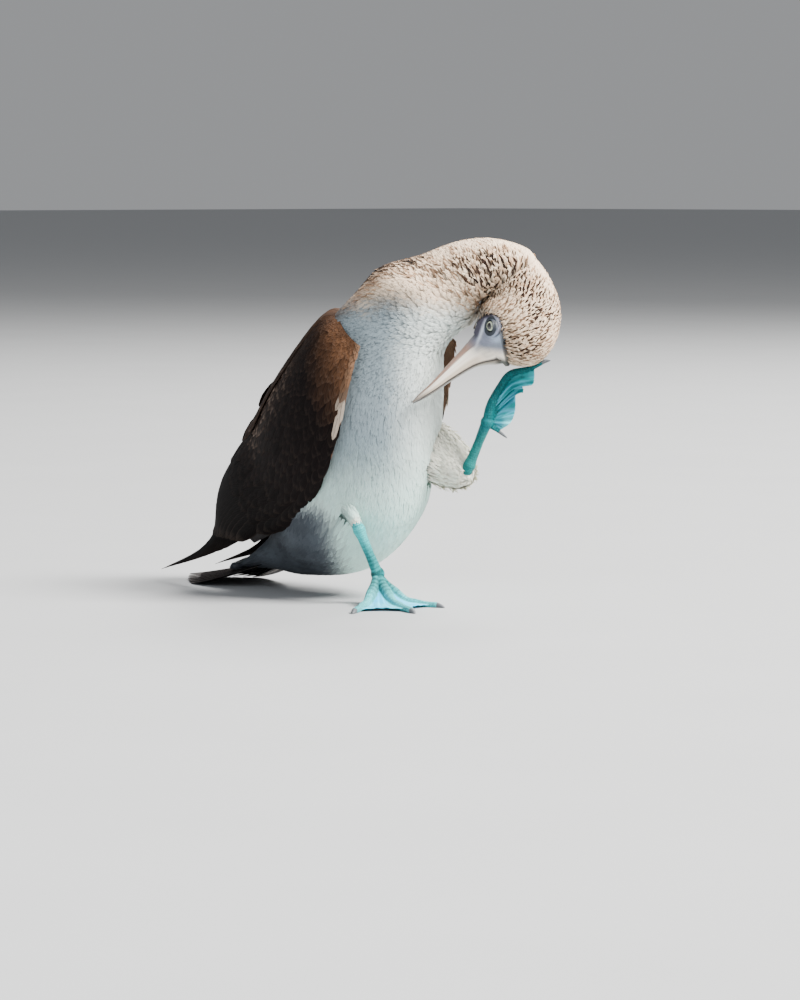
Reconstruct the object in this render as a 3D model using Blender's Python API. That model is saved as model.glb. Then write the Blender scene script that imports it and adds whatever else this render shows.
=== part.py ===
"""A life-size blue-footed booby that stands on its right foot and scratches its chin with the left one.

Sizes are in millimetres and become metres where a mesh is made. +X is ahead of the bird, +Y is to its
left and +Z is up. Points are laid out from the floor under the joint where the standing foot's toes meet,
and the finished part's origin is the flat under that foot's middle toe.
"""

import math

import bmesh
import bpy
import numpy as np
from mathutils import Matrix, Vector

MM = 0.001
GAP = 0.3  # clear space between two nodes that touch
SOLE_POINT = (57.1, -29.0, 0.0)  # the flat under the middle toe, where the part has its origin
MIDDLE = 24.0  # the trunk's middle plane, to the left of the standing foot
ROUND_SIDES = 24  # points round the trunk, the neck and the head

# Trunk, from the tail's root to the neck: ahead, up, half width, depth to the back, depth to the belly
TRUNK = {
    "vent": (-156, 47, 38, 33, 35),
    "low_belly": (-109, 76, 66, 62, 67),
    "belly": (-85, 119, 79, 84, 91),
    "mid": (-61, 170, 78.5, 92, 86),
    "chest": (-40, 222, 73, 84, 73),
    "shoulder": (-15, 273, 60, 64, 58),
}

# The neck and the head bend in one upright plane, turned this far from ahead towards the left
BEND_TURN = math.radians(46)
REACH = np.array([math.cos(BEND_TURN), math.sin(BEND_TURN), 0.0])
ASIDE = np.array([math.sin(BEND_TURN), -math.cos(BEND_TURN), 0.0])
UP = np.array([0.0, 0.0, 1.0])

# Neck and head: reach, height, aside, direction of the bend's outer side, half size in the plane, half aside
NECK = {
    "neck_root": (25.5, 300, -27, 133, 53.5, 50),
    "neck_low": (52, 314, -26, 115, 44.5, 43),
    "neck_mid": (80.5, 326.5, -22, 98, 42.5, 39),
    "neck_high": (103.7, 334, -17, 76, 37, 35),
    "nape": (126, 336, -10, 37, 30, 33),
}
HEAD = {
    "nape": (126, 336, -10, 37, 30, 33),
    "hindhead": (139, 313, 0, -2, 35.5, 33),
    "cheek": (137.5, 291.5, 7, -28, 40.6, 33),
    "eye_line": (124, 274, 11, -44, 40.5, 29.5),
    "face": (104, 261, 15, -46, 24.5, 18.5),
}
BILL_TIP = (27, 207, 24)
EYE = {"reach": 106.5, "height": 285, "radius": 7.6, "from_middle": 17.2}
LID = {"out": 4.4, "radius": 6.9, "thickness": 1.8}
EYE_TURN_AHEAD = 0.6  # how far the eyes face towards the bill rather than straight aside
HEAD_MIDDLE = 13  # the head's own middle plane, measured aside

# Bill, from the tip to the face: distance from the tip, culmen height, chin depth, half width, mouth line
BILL = (
    (0.0, 1.2, 1.0, 1.3, 0.0),
    (9.0, 3.4, 2.8, 3.0, 0.9),
    (25.0, 5.6, 4.4, 5.0, 2.0),
    (45.0, 9.8, 4.9, 7.6, 2.4),
    (68.0, 14.8, 6.8, 10.6, 4.0),
    (80.0, 17.6, 11.2, 12.8, 7.0),
    (90.0, 20.2, 18.4, 14.8, 11.6),
    (95.0, 21.4, 21.0, 16.0, 13.2),
)
MOUTH_GAP = 0.4

# Brown back between the wings: top of each station's ring, direction outward, half depth, half width
MANTLE = (
    ((-46, 289), (-0.45, 0.89), 22, 26),
    ((-96, 281), (-0.62, 0.78), 34, 36),
    ((-140, 251), (-0.70, 0.71), 39, 39),
    ((-177, 218), (-0.74, 0.67), 41, 39),
    ((-206, 182), (-0.80, 0.60), 39, 35),
    ((-224, 146), (-0.87, 0.50), 31, 29),
    ((-226, 108), (-0.90, 0.43), 17, 19),
)

# Wing, given for the right: edge along the flank, edge over the back, outward bulge, thickness
WING = (
    ((0, -40, 266), (-59, -4, 297), 10, 11),
    ((-2, -52, 226), (-92, 8, 295), 24, 13),
    ((-16, -56, 172), (-136, 16, 264), 31, 12),
    ((-38, -55, 128), (-182, 19, 219), 32, 11),
    ((-80, -47, 86), (-213, 18, 178), 28, 9),
    ((-135, -39, 64), (-238, 11, 146), 23, 7),
    ((-185, -33, 46), (-254, 1, 111), 14, 5),
    ((-228, -27, 32), (-246, -7, 74), 8, 3.5),
    ((-276, -21, 18), (-268, -14, 42), 5, 2.4),
    ((-336, -14, 7), (-338, -13, 13), 2, 1.6),
)
# The left wing's front edge stands out further, round the raised thigh, on its first rows
LEFT_FRONT = ((4, -48, 266), (-5, -52, 232), (-22, -54, 184), (-58, -55, 140), (-92, -49, 92))
WING_CORE_END = 0.60

# Feather tiers: how many, root and tip along the wing, first and last place across it, width, lift
COVERTS = (
    {"count": 6, "root": 0.15, "tip": 0.36, "across": (0.12, 0.78), "width": 31, "lift": 3.2},
    {"count": 7, "root": 0.32, "tip": 0.53, "across": (0.10, 0.84), "width": 28, "lift": 3.2},
)
SCAPULARS = {"count": 4, "root": (0.04, 0.32), "length": 0.22, "place": 0.90, "width": 34}
SECONDARIES = {"count": 8, "root": 0.46, "tip": (0.68, 0.79), "across": (0.18, 0.92), "width": 29, "lift": 1.6}
PRIMARIES = {"count": 6, "root": 0.54, "tip": (0.84, 1.0), "across": (0.10, 0.52), "width": 23, "lift": -1.0}
PRIMARY_STEP = 1.25  # how much lower each primary lies than the one over it
VANE_THICKNESS = 0.9
SHINGLE = 0.105  # sideways slope of the vanes in a tier

TAIL_ROOT = (
    (-156, 47, 38, 33, 35),
    (-182, 37, 37, 17, 18),
    (-212, 27, 31, 8, 8),
    (-240, 20, 23, 3.2, 3.2),
)
TAIL_FEATHERS = 13
TAIL_LENGTH = 162
TAIL_STEP_SHORTER = 8.5
TAIL_FAN = math.radians(2.1)
TAIL_FEATHER_WIDTH = 20
TAIL_STEP_LOWER = 1.15
TAIL_ROOT_X = -172

ANKLE_RIGHT = (-11, -30, 82)
JOINT_RIGHT = (-6, -6, 31)
ANKLE_LEFT = (49, 68, 136)
JOINT_LEFT = (70, 75, 186)
SOLE_SINK = 0.9  # how much of each toe's underside the floor plane takes away as a flat

# Standing toes: direction from ahead in degrees, length, and radius at the root and at the tip
STANDING_TOES = {
    "first": (70, 40, 3.6, 2.6),
    "second": (19, 68, 4.8, 3.2),
    "third": (-20, 84, 5.4, 3.4),
    "fourth": (-60, 82, 5.2, 3.3),
}
# Raised toes: the points that each passes after the joint as reach, height and aside, then its two radii
RAISED_TOES = {
    "first": (((108, 181, -3), (115, 176, -4)), 2.9, 1.9),
    "second": (((112, 202, -8), (121, 216, -11), (129, 226, -12), (136, 228, -13)), 4.2, 2.8),
    "third": (((110, 204, -3), (121, 222, -3), (131, 233, 0), (141, 232, 3)), 4.6, 3.0),
    "fourth": (((107, 206, 2), (117, 224, 3), (127, 236, 5), (146, 241, 6), (158, 247, 6)), 4.8, 2.4),
}
CLAW_LENGTH = 8

COLOURS = {
    "plumage_white": ((0.86, 0.87, 0.84), 0.85),
    "plumage_streaked": ((0.66, 0.56, 0.47), 0.85),
    "plumage_brown": ((0.13, 0.085, 0.06), 0.75),
    "plumage_tail": ((0.30, 0.24, 0.20), 0.75),
    "bill_horn": ((0.55, 0.52, 0.48), 0.45),
    "foot_skin": ((0.10, 0.62, 0.68), 0.50),
    "claw_horn": ((0.25, 0.27, 0.28), 0.40),
    "eye_wet": ((0.80, 0.76, 0.50), 0.10),
}


def clear_scene():
    for obj in list(bpy.data.objects):
        bpy.data.objects.remove(obj, do_unlink=True)


def material(name):
    """The part's plain Principled finish of that name, made once."""
    found = bpy.data.materials.get(name)
    if found:
        return found
    colour, roughness = COLOURS[name]
    made = bpy.data.materials.new(name)
    made.use_nodes = True
    shader = made.node_tree.nodes["Principled BSDF"]
    shader.inputs["Base Color"].default_value = (*colour, 1.0)
    shader.inputs["Roughness"].default_value = roughness
    made.diffuse_color = (*colour, 1.0)
    return made


def add_object(name, points, faces, finish, collection):
    """A mesh object from points in millimetres, its faces turned outwards."""
    mesh = bpy.data.meshes.new(name)
    placed = (np.asarray(points, float) - SOLE_POINT) * MM
    mesh.from_pydata(placed.tolist(), [], [list(f) for f in faces])
    cage = bmesh.new()
    cage.from_mesh(mesh)
    bmesh.ops.remove_doubles(cage, verts=cage.verts, dist=1e-6)
    bmesh.ops.recalc_face_normals(cage, faces=cage.faces)
    if cage.calc_volume(signed=True) < 0:
        bmesh.ops.reverse_faces(cage, faces=cage.faces)
    cage.to_mesh(mesh)
    cage.free()
    mesh.materials.append(material(finish))
    obj = bpy.data.objects.new(name, mesh)
    collection.objects.link(obj)
    return obj


def smooth(rows, steps):
    """Catmull-Rom curve through rows of any shape, with this many steps between neighbours."""
    rows = np.asarray(rows, float)
    padded = np.concatenate([2 * rows[:1] - rows[1:2], rows, 2 * rows[-1:] - rows[-2:-1]])
    found = []
    for i in range(len(rows) - 1):
        before, start, end, after = padded[i : i + 4]
        for t in np.arange(steps) / steps:
            found.append(
                0.5
                * (
                    2 * start
                    + (end - before) * t
                    + (2 * before - 5 * start + 4 * end - after) * t**2
                    + (3 * start - before - 3 * end + after) * t**3
                )
            )
    found.append(rows[-1])
    return np.array(found)


def unit(v):
    v = np.asarray(v, float)
    return v / np.linalg.norm(v, axis=-1, keepdims=True)


def tube(rings):
    """Points and triangles of a closed solid through rings of equal count, with a fan on each end."""
    rings = np.asarray(rings, float)
    count, sides, _ = rings.shape
    points = np.concatenate([rings.reshape(-1, 3), rings[[0, -1]].mean(axis=1)])
    first_hub, last_hub = count * sides, count * sides + 1
    faces = []
    for i in range(count - 1):
        for j in range(sides):
            a, b = i * sides + j, i * sides + (j + 1) % sides
            faces += [(a, b, b + sides), (a, b + sides, a + sides)]
    last = (count - 1) * sides
    for j in range(sides):
        k = (j + 1) % sides
        faces += [(first_hub, k, j), (last_hub, last + j, last + k)]
    return points, faces


def plate(upper, lower):
    """Points and triangles of the thin solid between two equal grids, split alike on both faces."""
    rows, columns, _ = upper.shape
    points = np.concatenate([upper.reshape(-1, 3), lower.reshape(-1, 3)])
    under = rows * columns
    faces = []
    for i in range(rows - 1):
        for j in range(columns - 1):
            a = i * columns + j
            b, c, d = a + 1, a + columns + 1, a + columns
            faces += [(a, b, c), (a, c, d), (a + under, c + under, b + under), (a + under, d + under, c + under)]
    rim = [j for j in range(columns)]
    rim += [i * columns + columns - 1 for i in range(1, rows)]
    rim += [(rows - 1) * columns + j for j in range(columns - 2, -1, -1)]
    rim += [i * columns for i in range(rows - 2, 0, -1)]
    for a, b in zip(rim, rim[1:] + rim[:1]):
        faces += [(b, a, a + under), (b, a + under, b + under)]
    return points, faces


def frames_along(path):
    """Two unit vectors across a path at each of its points, turned as little as can be."""
    tangents = unit(np.gradient(path, axis=0))
    side = unit(np.cross(tangents[0], UP if abs(tangents[0][2]) < 0.9 else REACH))
    sides = []
    for tangent in tangents:
        side = unit(side - tangent * (side @ tangent))
        sides.append(side)
    sides = np.array(sides)
    return sides, np.cross(tangents, sides)


def round_rings(path, radii, sides):
    """Circles of the given radii along a path."""
    across, over = frames_along(path)
    angle = np.linspace(0, 2 * math.pi, sides, endpoint=False)
    radii = np.asarray(radii, float)[:, None, None]
    return path[:, None] + radii * (
        np.cos(angle)[None, :, None] * across[:, None] + np.sin(angle)[None, :, None] * over[:, None]
    )


def keep_largest(mesh):
    """Leaves only the mesh's largest closed surface."""
    cage = bmesh.new()
    cage.from_mesh(mesh)
    bmesh.ops.triangulate(cage, faces=cage.faces)
    bmesh.ops.remove_doubles(cage, verts=cage.verts, dist=1e-7)
    waiting = set(cage.faces)
    shells = []
    while waiting:
        shell, edge_of_search = set(), [waiting.pop()]
        while edge_of_search:
            face = edge_of_search.pop()
            shell.add(face)
            for edge in face.edges:
                for other in edge.link_faces:
                    if other in waiting:
                        waiting.discard(other)
                        edge_of_search.append(other)
        shells.append(shell)
    shells.sort(key=lambda faces: sum(f.calc_area() for f in faces))
    for shell in shells[:-1]:
        bmesh.ops.delete(cage, geom=list(shell), context="FACES")
    cage.to_mesh(mesh)
    cage.free()


def taken(cage):
    """Points and faces of a bmesh, which is freed."""
    bmesh.ops.triangulate(cage, faces=cage.faces)
    cage.verts.index_update()
    points = np.array([v.co for v in cage.verts])
    faces = [tuple(v.index for v in f.verts) for f in cage.faces]
    cage.free()
    return points, faces


def evaluated_mesh(obj):
    graph = bpy.context.evaluated_depsgraph_get()
    return bpy.data.meshes.new_from_object(obj.evaluated_get(graph))


def fuse(name, pieces, finish, cutters=(), solver="MANIFOLD"):
    """One closed object from overlapping (points, faces) pieces, less the cutters."""
    parts = bpy.data.collections["booby"]
    body = add_object(name, *pieces[0], finish, parts)
    if len(pieces) > 1:
        group = bpy.data.collections.new(name + "_pieces")
        bpy.context.scene.collection.children.link(group)
        for i, piece in enumerate(pieces[1:]):
            add_object(f"{name}_piece_{i}", *piece, finish, group)
        join = body.modifiers.new("join", "BOOLEAN")
        join.operation = "UNION"
        join.operand_type = "COLLECTION"
        join.collection = group
        join.solver = solver
        body.data = evaluated_mesh(body)
        body.modifiers.clear()
        for obj in list(group.objects):
            bpy.data.objects.remove(obj, do_unlink=True)
        bpy.data.collections.remove(group)
        keep_largest(body.data)
    for cutter in cutters:
        cut = body.modifiers.new("cut", "BOOLEAN")
        cut.operation = "DIFFERENCE"
        cut.object = cutter
        cut.solver = solver
        body.data = evaluated_mesh(body)
        body.modifiers.clear()
        keep_largest(body.data)
    body.data.materials.clear()
    body.data.materials.append(material(finish))
    body.data.shade_smooth()
    body.data.set_sharp_from_angle(angle=math.radians(40))
    return body


def cutter(name, pieces):
    """A helper solid, left out of the part, from the first piece or from the union of several."""
    helper = fuse(name, pieces, "plumage_white")
    bpy.data.collections["booby"].objects.unlink(helper)
    bpy.data.collections["cutters"].objects.link(helper)
    helper.hide_render = True
    helper.display_type = "WIRE"
    return helper


def trunk_rings(grow=0.0):
    """The trunk's station rings, each in the plane across its spine."""
    rows = np.array(list(TRUNK.values()), float)
    slope = np.gradient(rows[:, :2], axis=0)
    pitch = np.arctan2(slope[:, 1], slope[:, 0])
    angle = np.linspace(0, 2 * math.pi, ROUND_SIDES, endpoint=False)
    rings = []
    for (x, z, wide, back, belly), p in zip(rows, pitch):
        backward = np.array([-math.sin(p), 0, math.cos(p)])
        depth = np.where(np.sin(angle) > 0, back + grow, belly + grow)
        centre = np.array([x, MIDDLE, z])
        rings.append(
            centre
            + (wide + grow) * np.cos(angle)[:, None] * np.array([0, -1.0, 0])
            + (depth * np.sin(angle))[:, None] * backward
        )
    return np.array(rings)


def bend_point(reach, height, aside):
    """A point given in the upright plane in which the neck bends."""
    return reach * REACH + height * UP + aside * ASIDE


def bend_ring(row, grow=0.0):
    """An ellipse across the neck or the head."""
    reach, height, aside, outward, half_plane, half_aside = row
    angle = np.linspace(0, 2 * math.pi, ROUND_SIDES, endpoint=False)
    turned = math.radians(outward)
    outer = math.cos(turned) * REACH + math.sin(turned) * UP
    return (
        bend_point(reach, height, aside)
        + (half_aside + grow) * np.cos(angle)[:, None] * ASIDE
        + (half_plane + grow) * np.sin(angle)[:, None] * outer
    )


def flesh_rings(first, last, steps, grow=0.0):
    """Smooth rings from one station to another of the whole body, from the vent to the face."""
    rings = list(trunk_rings(grow))
    names = list(TRUNK)
    for name, row in {**NECK, **HEAD}.items():
        names.append(name)
        rings.append(bend_ring(row, grow))
    start, stop = names.index(first), names.index(last)
    return smooth(np.array(rings), steps)[start * steps : stop * steps + 1]


def step_back(rings, at_first=0.0, at_last=0.0):
    """Moves the two end rings into the solid, along its length, to leave a gap at a cut."""
    rings = rings.copy()
    for end, inner, distance in ((0, 1, at_first), (-1, -2, at_last)):
        across = unit(np.cross(rings[end][0] - rings[end][6], rings[end][3] - rings[end][9]))
        inward = rings[inner].mean(axis=0) - rings[end].mean(axis=0)
        rings[end] += distance * across * np.sign(across @ inward)
    return rings


def mantle_piece(grow=0.0):
    """The rounded ridge of the back that fills the room between the wings and under their upper edges."""
    angle = np.linspace(0, 2 * math.pi, 16, endpoint=False)
    rings = []
    for (x, z), outward, depth, width in MANTLE:
        out = np.array([outward[0], 0, outward[1]])
        centre = np.array([x, MIDDLE, z]) - depth * out
        rings.append(
            centre
            + (width + grow) * np.cos(angle)[:, None] * np.array([0, 1.0, 0])
            + (depth + grow) * np.sin(angle)[:, None] * out
        )
    return tube(smooth(np.array(rings), 2))


def make_trunk():
    rings = step_back(flesh_rings("vent", "shoulder", 2), at_last=GAP / 2)
    return fuse("trunk", [tube(rings)], "plumage_white")


def make_neck(head_cutter):
    rings = step_back(flesh_rings("shoulder", "nape", 2), at_first=GAP / 2, at_last=GAP / 2)
    return fuse("neck", [tube(rings)], "plumage_streaked", [head_cutter])


def eye_centre(side):
    """Where the eye on that side of the head sits: 1 is the bird's left."""
    return bend_point(EYE["reach"], EYE["height"], HEAD_MIDDLE + side * EYE["from_middle"])


def ball(centre, radius):
    """A sphere with its poles on the aside axis."""
    cage = bmesh.new()
    bmesh.ops.create_uvsphere(cage, u_segments=14, v_segments=9, radius=radius)
    turn = Vector((0, 0, 1)).rotation_difference(Vector(ASIDE)).to_matrix().to_4x4()
    bmesh.ops.transform(cage, matrix=Matrix.Translation(centre) @ turn, verts=cage.verts)
    return taken(cage)


def lid(side):
    """The swollen ring of bare skin round the eye."""
    facing = Vector(side * ASIDE - EYE_TURN_AHEAD * REACH).normalized()
    angle = np.linspace(0, 2 * math.pi, 8, endpoint=False)
    cage = bmesh.new()
    ring = [
        cage.verts.new((LID["radius"] + LID["thickness"] * math.cos(a), 0, LID["thickness"] * math.sin(a)))
        for a in angle
    ]
    loop = [cage.edges.new((a, b)) for a, b in zip(ring, ring[1:] + ring[:1])]
    bmesh.ops.spin(cage, geom=ring + loop, axis=(0, 0, 1), angle=2 * math.pi, steps=16, use_merge=True)
    turn = Vector((0, 0, 1)).rotation_difference(facing).to_matrix().to_4x4()
    hub = Vector(eye_centre(side)) + LID["out"] * facing
    bmesh.ops.transform(cage, matrix=Matrix.Translation(hub) @ turn, verts=cage.verts)
    return taken(cage)


def gape():
    """Room for the slit that carries the line of the mouth on from the bill towards the cheek."""
    face = np.array(HEAD["face"][:3], float)
    ahead = unit(np.array(BILL_TIP, float) - face)
    chinward = math.cos(math.radians(-46)) * REACH + math.sin(math.radians(-46)) * UP
    centre = bend_point(*(face - ahead * 4)) + (BILL[-1][4] + 0.8) * chinward
    along = ahead[0] * REACH + ahead[1] * UP
    cage = bmesh.new()
    bmesh.ops.create_cube(cage, size=1.0)
    across = Vector(np.cross(ASIDE, along)).normalized()
    turn = Matrix((Vector(along).normalized(), Vector(ASIDE), across)).transposed().to_4x4()
    size = Matrix.Diagonal((24, 90, 0.5, 1))
    bmesh.ops.transform(cage, matrix=Matrix.Translation(centre) @ turn @ size, verts=cage.verts)
    return taken(cage)


def make_head(sockets):
    rings = step_back(flesh_rings("nape", "face", 4), at_first=GAP / 2)
    return fuse("head", [tube(rings), lid(1), lid(-1)], "plumage_streaked", sockets)


def bill_rings(upper):
    """Half ellipses along the bill: the arch of one mandible above or below the mouth line."""
    face = np.array(HEAD["face"][:3], float)
    tip = np.array(BILL_TIP, float)
    back = unit(face - tip)
    last = BILL[-1][0]
    arch = np.linspace(0, math.pi, 9)
    rings = []
    for distance, culmen, chin, half_width, mouth in BILL:
        along = (np.linalg.norm(face - tip) - GAP) * distance / last
        turned = math.radians(-54 + 8 * (distance / last) ** 3)
        chinward = math.cos(turned) * REACH + math.sin(turned) * UP
        centre = bend_point(*(tip + back * along))
        if upper:
            height = (mouth - MOUTH_GAP / 2) - np.sin(arch) * (culmen + mouth - MOUTH_GAP / 2)
        else:
            height = (mouth + MOUTH_GAP / 2) + np.sin(arch) * max(chin - mouth - MOUTH_GAP / 2, 0.5)
        width = np.cos(arch) * half_width
        rings.append(centre + width[:, None] * ASIDE + height[:, None] * chinward)
    return np.array(rings)


def make_bill():
    for name, upper in (("bill_upper", True), ("bill_lower", False)):
        rings = smooth(bill_rings(upper), 2)
        fuse(name, [tube(rings)], "bill_horn")


def mirror(points, side):
    """Right-hand points for side -1, and the same across the trunk's middle plane for side 1."""
    points = np.array(points, float)
    if side > 0:
        points[..., 1] = 2 * MIDDLE - points[..., 1]
    return points


class WingSurface:
    """The folded wing's outer surface: s runs from the wrist to the tip, t from the flank to the back."""

    def __init__(self, side):
        self.side = side
        front = np.array([row[0] for row in WING], float)
        if side > 0:
            front[: len(LEFT_FRONT)] = LEFT_FRONT
        table = np.column_stack([front, [row[1] for row in WING], [row[2:] for row in WING]])
        self.rows = smooth(table, 6)

    def row(self, s):
        place = np.clip(s, 0, 1) * (len(self.rows) - 1)
        low = np.minimum(place.astype(int), len(self.rows) - 2)
        share = (place - low)[..., None]
        return self.rows[low] * (1 - share) + self.rows[low + 1] * share

    def flat(self, s, t):
        row = self.row(s)
        return row[..., :3] * (1 - t[..., None]) + row[..., 3:6] * t[..., None], row

    def at(self, s, t, lift=0.0):
        """Points at (s, t), raised by lift along the outward normal."""
        s, t = np.broadcast_arrays(np.asarray(s, float), np.asarray(t, float))
        here, row = self.flat(s, t)
        small = 0.02
        ahead, _ = self.flat(s + small, t)
        behind, _ = self.flat(s - small, t)
        across = row[..., 3:6] - row[..., :3]
        outward = unit(np.cross(across, ahead - behind))
        bulge = 4 * np.clip(t, -0.1, 1.1) * (1 - np.clip(t, -0.1, 1.1)) * row[..., 6]
        raised = here + (bulge + lift)[..., None] * outward
        return mirror(raised, self.side)

    def thickness(self, s):
        return self.row(np.asarray(s, float))[..., 7]


def wing_core(surface):
    """The wing's arm and hand under the feathers: a curved slab, thin at its edges."""
    s = np.linspace(0, WING_CORE_END, 9)[:, None]
    t = np.linspace(0, 1, 8)[None, :]
    s, t = np.broadcast_arrays(s, t)
    edge = np.clip(np.minimum(t, 1 - t) / 0.22, 0.25, 1) * np.clip(0.35 + s / 0.10, 0, 1)
    thick = surface.thickness(s) * edge
    return plate(surface.at(s, t, 0.0), surface.at(s, t, -thick))


def rise(root, tip):
    """Heights of a vane over the core at its stations, from its root inside the core to its tip."""
    return np.array([root, root + 0.8 * (tip - root), tip, tip])


def wing_vane(surface, root, tip, width, heights, rachis=False, slope=SHINGLE):
    """One feather on the wing: root and tip are (s, t) places; its root end lies inside the core."""
    run = np.array([0, 0.3, 0.82, 1.0])
    s = root[0] + (tip[0] - root[0]) * run
    t = root[1] + (tip[1] - root[1]) * run**1.3
    shape = np.array([0.6, 0.95, 0.9, 0.4])
    span = np.linalg.norm(surface.at(s, np.ones(4)) - surface.at(s, np.zeros(4)), axis=-1)
    half = width * shape / 2 / np.maximum(span, 30)
    places = (-1, 0, 1) if rachis else (-1, 1)
    upper, lower = [], []
    for place in places:
        ridge = 0.5 if rachis and place == 0 else 0.0
        height = heights + slope * place * shape * width / 2
        upper.append(surface.at(s, t + half * place, height + VANE_THICKNESS / 2 + ridge))
        lower.append(surface.at(s, t + half * place, height - VANE_THICKNESS / 2))
    return plate(np.stack(upper, axis=1), np.stack(lower, axis=1))


def make_wing(side, cutters):
    """Core, then primaries, secondaries, two tiers of coverts and the scapulars over them."""
    surface = WingSurface(side)
    pieces = [wing_core(surface)]
    for i in range(PRIMARIES["count"]):
        share = i / (PRIMARIES["count"] - 1)
        low, high = PRIMARIES["across"]
        ends, begins = PRIMARIES["tip"]
        root = (PRIMARIES["root"] + 0.005 * i, low + (high - low) * share)
        tip = (begins + (ends - begins) * share, 0.35 + 0.30 * share)
        under = PRIMARIES["count"] - 1 - i
        heights = rise(-1.6 - 0.2 * under, PRIMARIES["lift"] - PRIMARY_STEP * under)
        pieces.append(wing_vane(surface, root, tip, PRIMARIES["width"], heights, slope=0.0))
    for i in range(SECONDARIES["count"]):
        share = i / (SECONDARIES["count"] - 1)
        low, high = SECONDARIES["across"]
        ends, furthest = SECONDARIES["tip"]
        root = (SECONDARIES["root"] + 0.006 * math.sin(2.9 * i), low + (high - low) * share)
        tip = (ends + (furthest - ends) * math.sin(share * 2.2), 0.12 + 0.80 * share)
        heights = rise(-3.2, SECONDARIES["lift"])
        pieces.append(wing_vane(surface, root, tip, SECONDARIES["width"], heights, True))
    for tier in COVERTS[::-1]:
        for i, place in enumerate(np.linspace(*tier["across"], tier["count"])):
            uneven = 0.011 * math.sin(2.3 * i + 1)
            root, tip = (tier["root"] + uneven / 2, place), (tier["tip"] + uneven, place + uneven / 3)
            pieces.append(wing_vane(surface, root, tip, tier["width"], rise(-3.2, tier["lift"])))
    for start in np.linspace(*SCAPULARS["root"], SCAPULARS["count"]):
        root, tip = (start, SCAPULARS["place"]), (start + SCAPULARS["length"], SCAPULARS["place"] - 0.02)
        heights = np.array([-1.0, 1.1, 4.7, 5.9])
        pieces.append(wing_vane(surface, root, tip, SCAPULARS["width"], heights, slope=0.0))
    name = "wing_left" if side > 0 else "wing_right"
    return fuse(name, pieces, "plumage_brown", cutters)


def tail_root_rings():
    rings = []
    rows = np.array(TAIL_ROOT, float)
    vent = trunk_rings()[0]
    angle = np.linspace(0, 2 * math.pi, ROUND_SIDES, endpoint=False)
    for x, z, wide, above, below in rows[1:]:
        depth = np.where(np.sin(angle) > 0, above, below)
        lean = np.array([-0.35, 0, 0.94])
        rings.append(
            np.array([x, MIDDLE, z])
            + wide * np.cos(angle)[:, None] * np.array([0, -1.0, 0])
            + (depth * np.sin(angle))[:, None] * lean
        )
    return np.array([vent] + rings)


def tail_vane(number):
    """One tail feather: number 0 is the middle one, and each step out lies lower and ends sooner."""
    out = abs(number)
    run = np.array([0, 0.22, 0.5, 0.8, 1.0])
    turn = number * TAIL_FAN
    length = TAIL_LENGTH - TAIL_STEP_SHORTER * out
    ahead = np.array([-math.cos(turn), math.sin(turn), 0])
    sideways = np.array([math.sin(turn), math.cos(turn), 0])
    root = np.array([TAIL_ROOT_X, MIDDLE + 3.4 * number, 0])
    height_tip = 0.3 + TAIL_STEP_LOWER * (TAIL_FEATHERS // 2 - out)
    height = height_tip + 31 * (1 - run) ** 1.25
    path = root + length * run[:, None] * ahead + height[:, None] * UP
    shape = np.array([0.5, 0.85, 1.0, 0.85, 0.3])
    upper, lower = [], []
    for place in (-1, 0, 1):
        offset = place * shape * TAIL_FEATHER_WIDTH / 2
        ridge = 0.45 if place == 0 else 0.0
        side = path + offset[:, None] * sideways
        upper.append(side + (VANE_THICKNESS / 2 + ridge) * UP)
        lower.append(side - VANE_THICKNESS / 2 * UP)
    return plate(np.stack(upper, axis=1), np.stack(lower, axis=1))


def make_tail(floor):
    rings = step_back(smooth(tail_root_rings(), 3), at_first=GAP)
    half = TAIL_FEATHERS // 2
    vanes = [tail_vane(number) for number in range(-half, half + 1)]
    return fuse("tail", [tube(rings), *vanes], "plumage_tail", [floor])


def limb(points, radii, sides, steps=2):
    """A round limb through points with the given radii."""
    path = smooth(points, steps)
    return tube(round_rings(path, smooth(np.array(radii, float)[:, None], steps)[:, 0], sides))


def thigh_piece(side, grow=0.0):
    if side < 0:
        points = [(-62, -2, 130), (-44, -13, 112), (-28, -23, 98), (-16, -29, 88), (-11.5, -30, 83)]
        radii = [34, 27, 17, 9.5, 7.2]
    else:
        points = [(-34, 60, 160), (-10, 69, 153), (12, 73, 143), (33, 72, 133.5), (45, 69, 129)]
        radii = [34, 32, 27, 19.5, 12]
    return limb(points, np.array(radii) + grow, 16)


def make_thigh(side, cutters):
    name = "thigh_left" if side > 0 else "thigh_right"
    return fuse(name, [thigh_piece(side)], "plumage_white", cutters)


def shank_piece(ankle, joint, grow=0.0, trim=0.0):
    """The bare lower leg: a knob at the ankle, a slim shaft and a wider foot end."""
    ankle, joint = np.array(ankle, float), np.array(joint, float)
    stations = np.array([0.0, 0.1, 0.25, 0.6, 0.85, 1.0])
    radii = np.array([5.6, 6.6, 5.2, 4.7, 5.4, 5.8]) + grow
    length = np.linalg.norm(joint - ankle)
    stations = (stations * (length - 2 * trim) + trim) / length
    path = ankle + stations[:, None] * (joint - ankle)
    return tube(round_rings(path, radii, 12))


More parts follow.
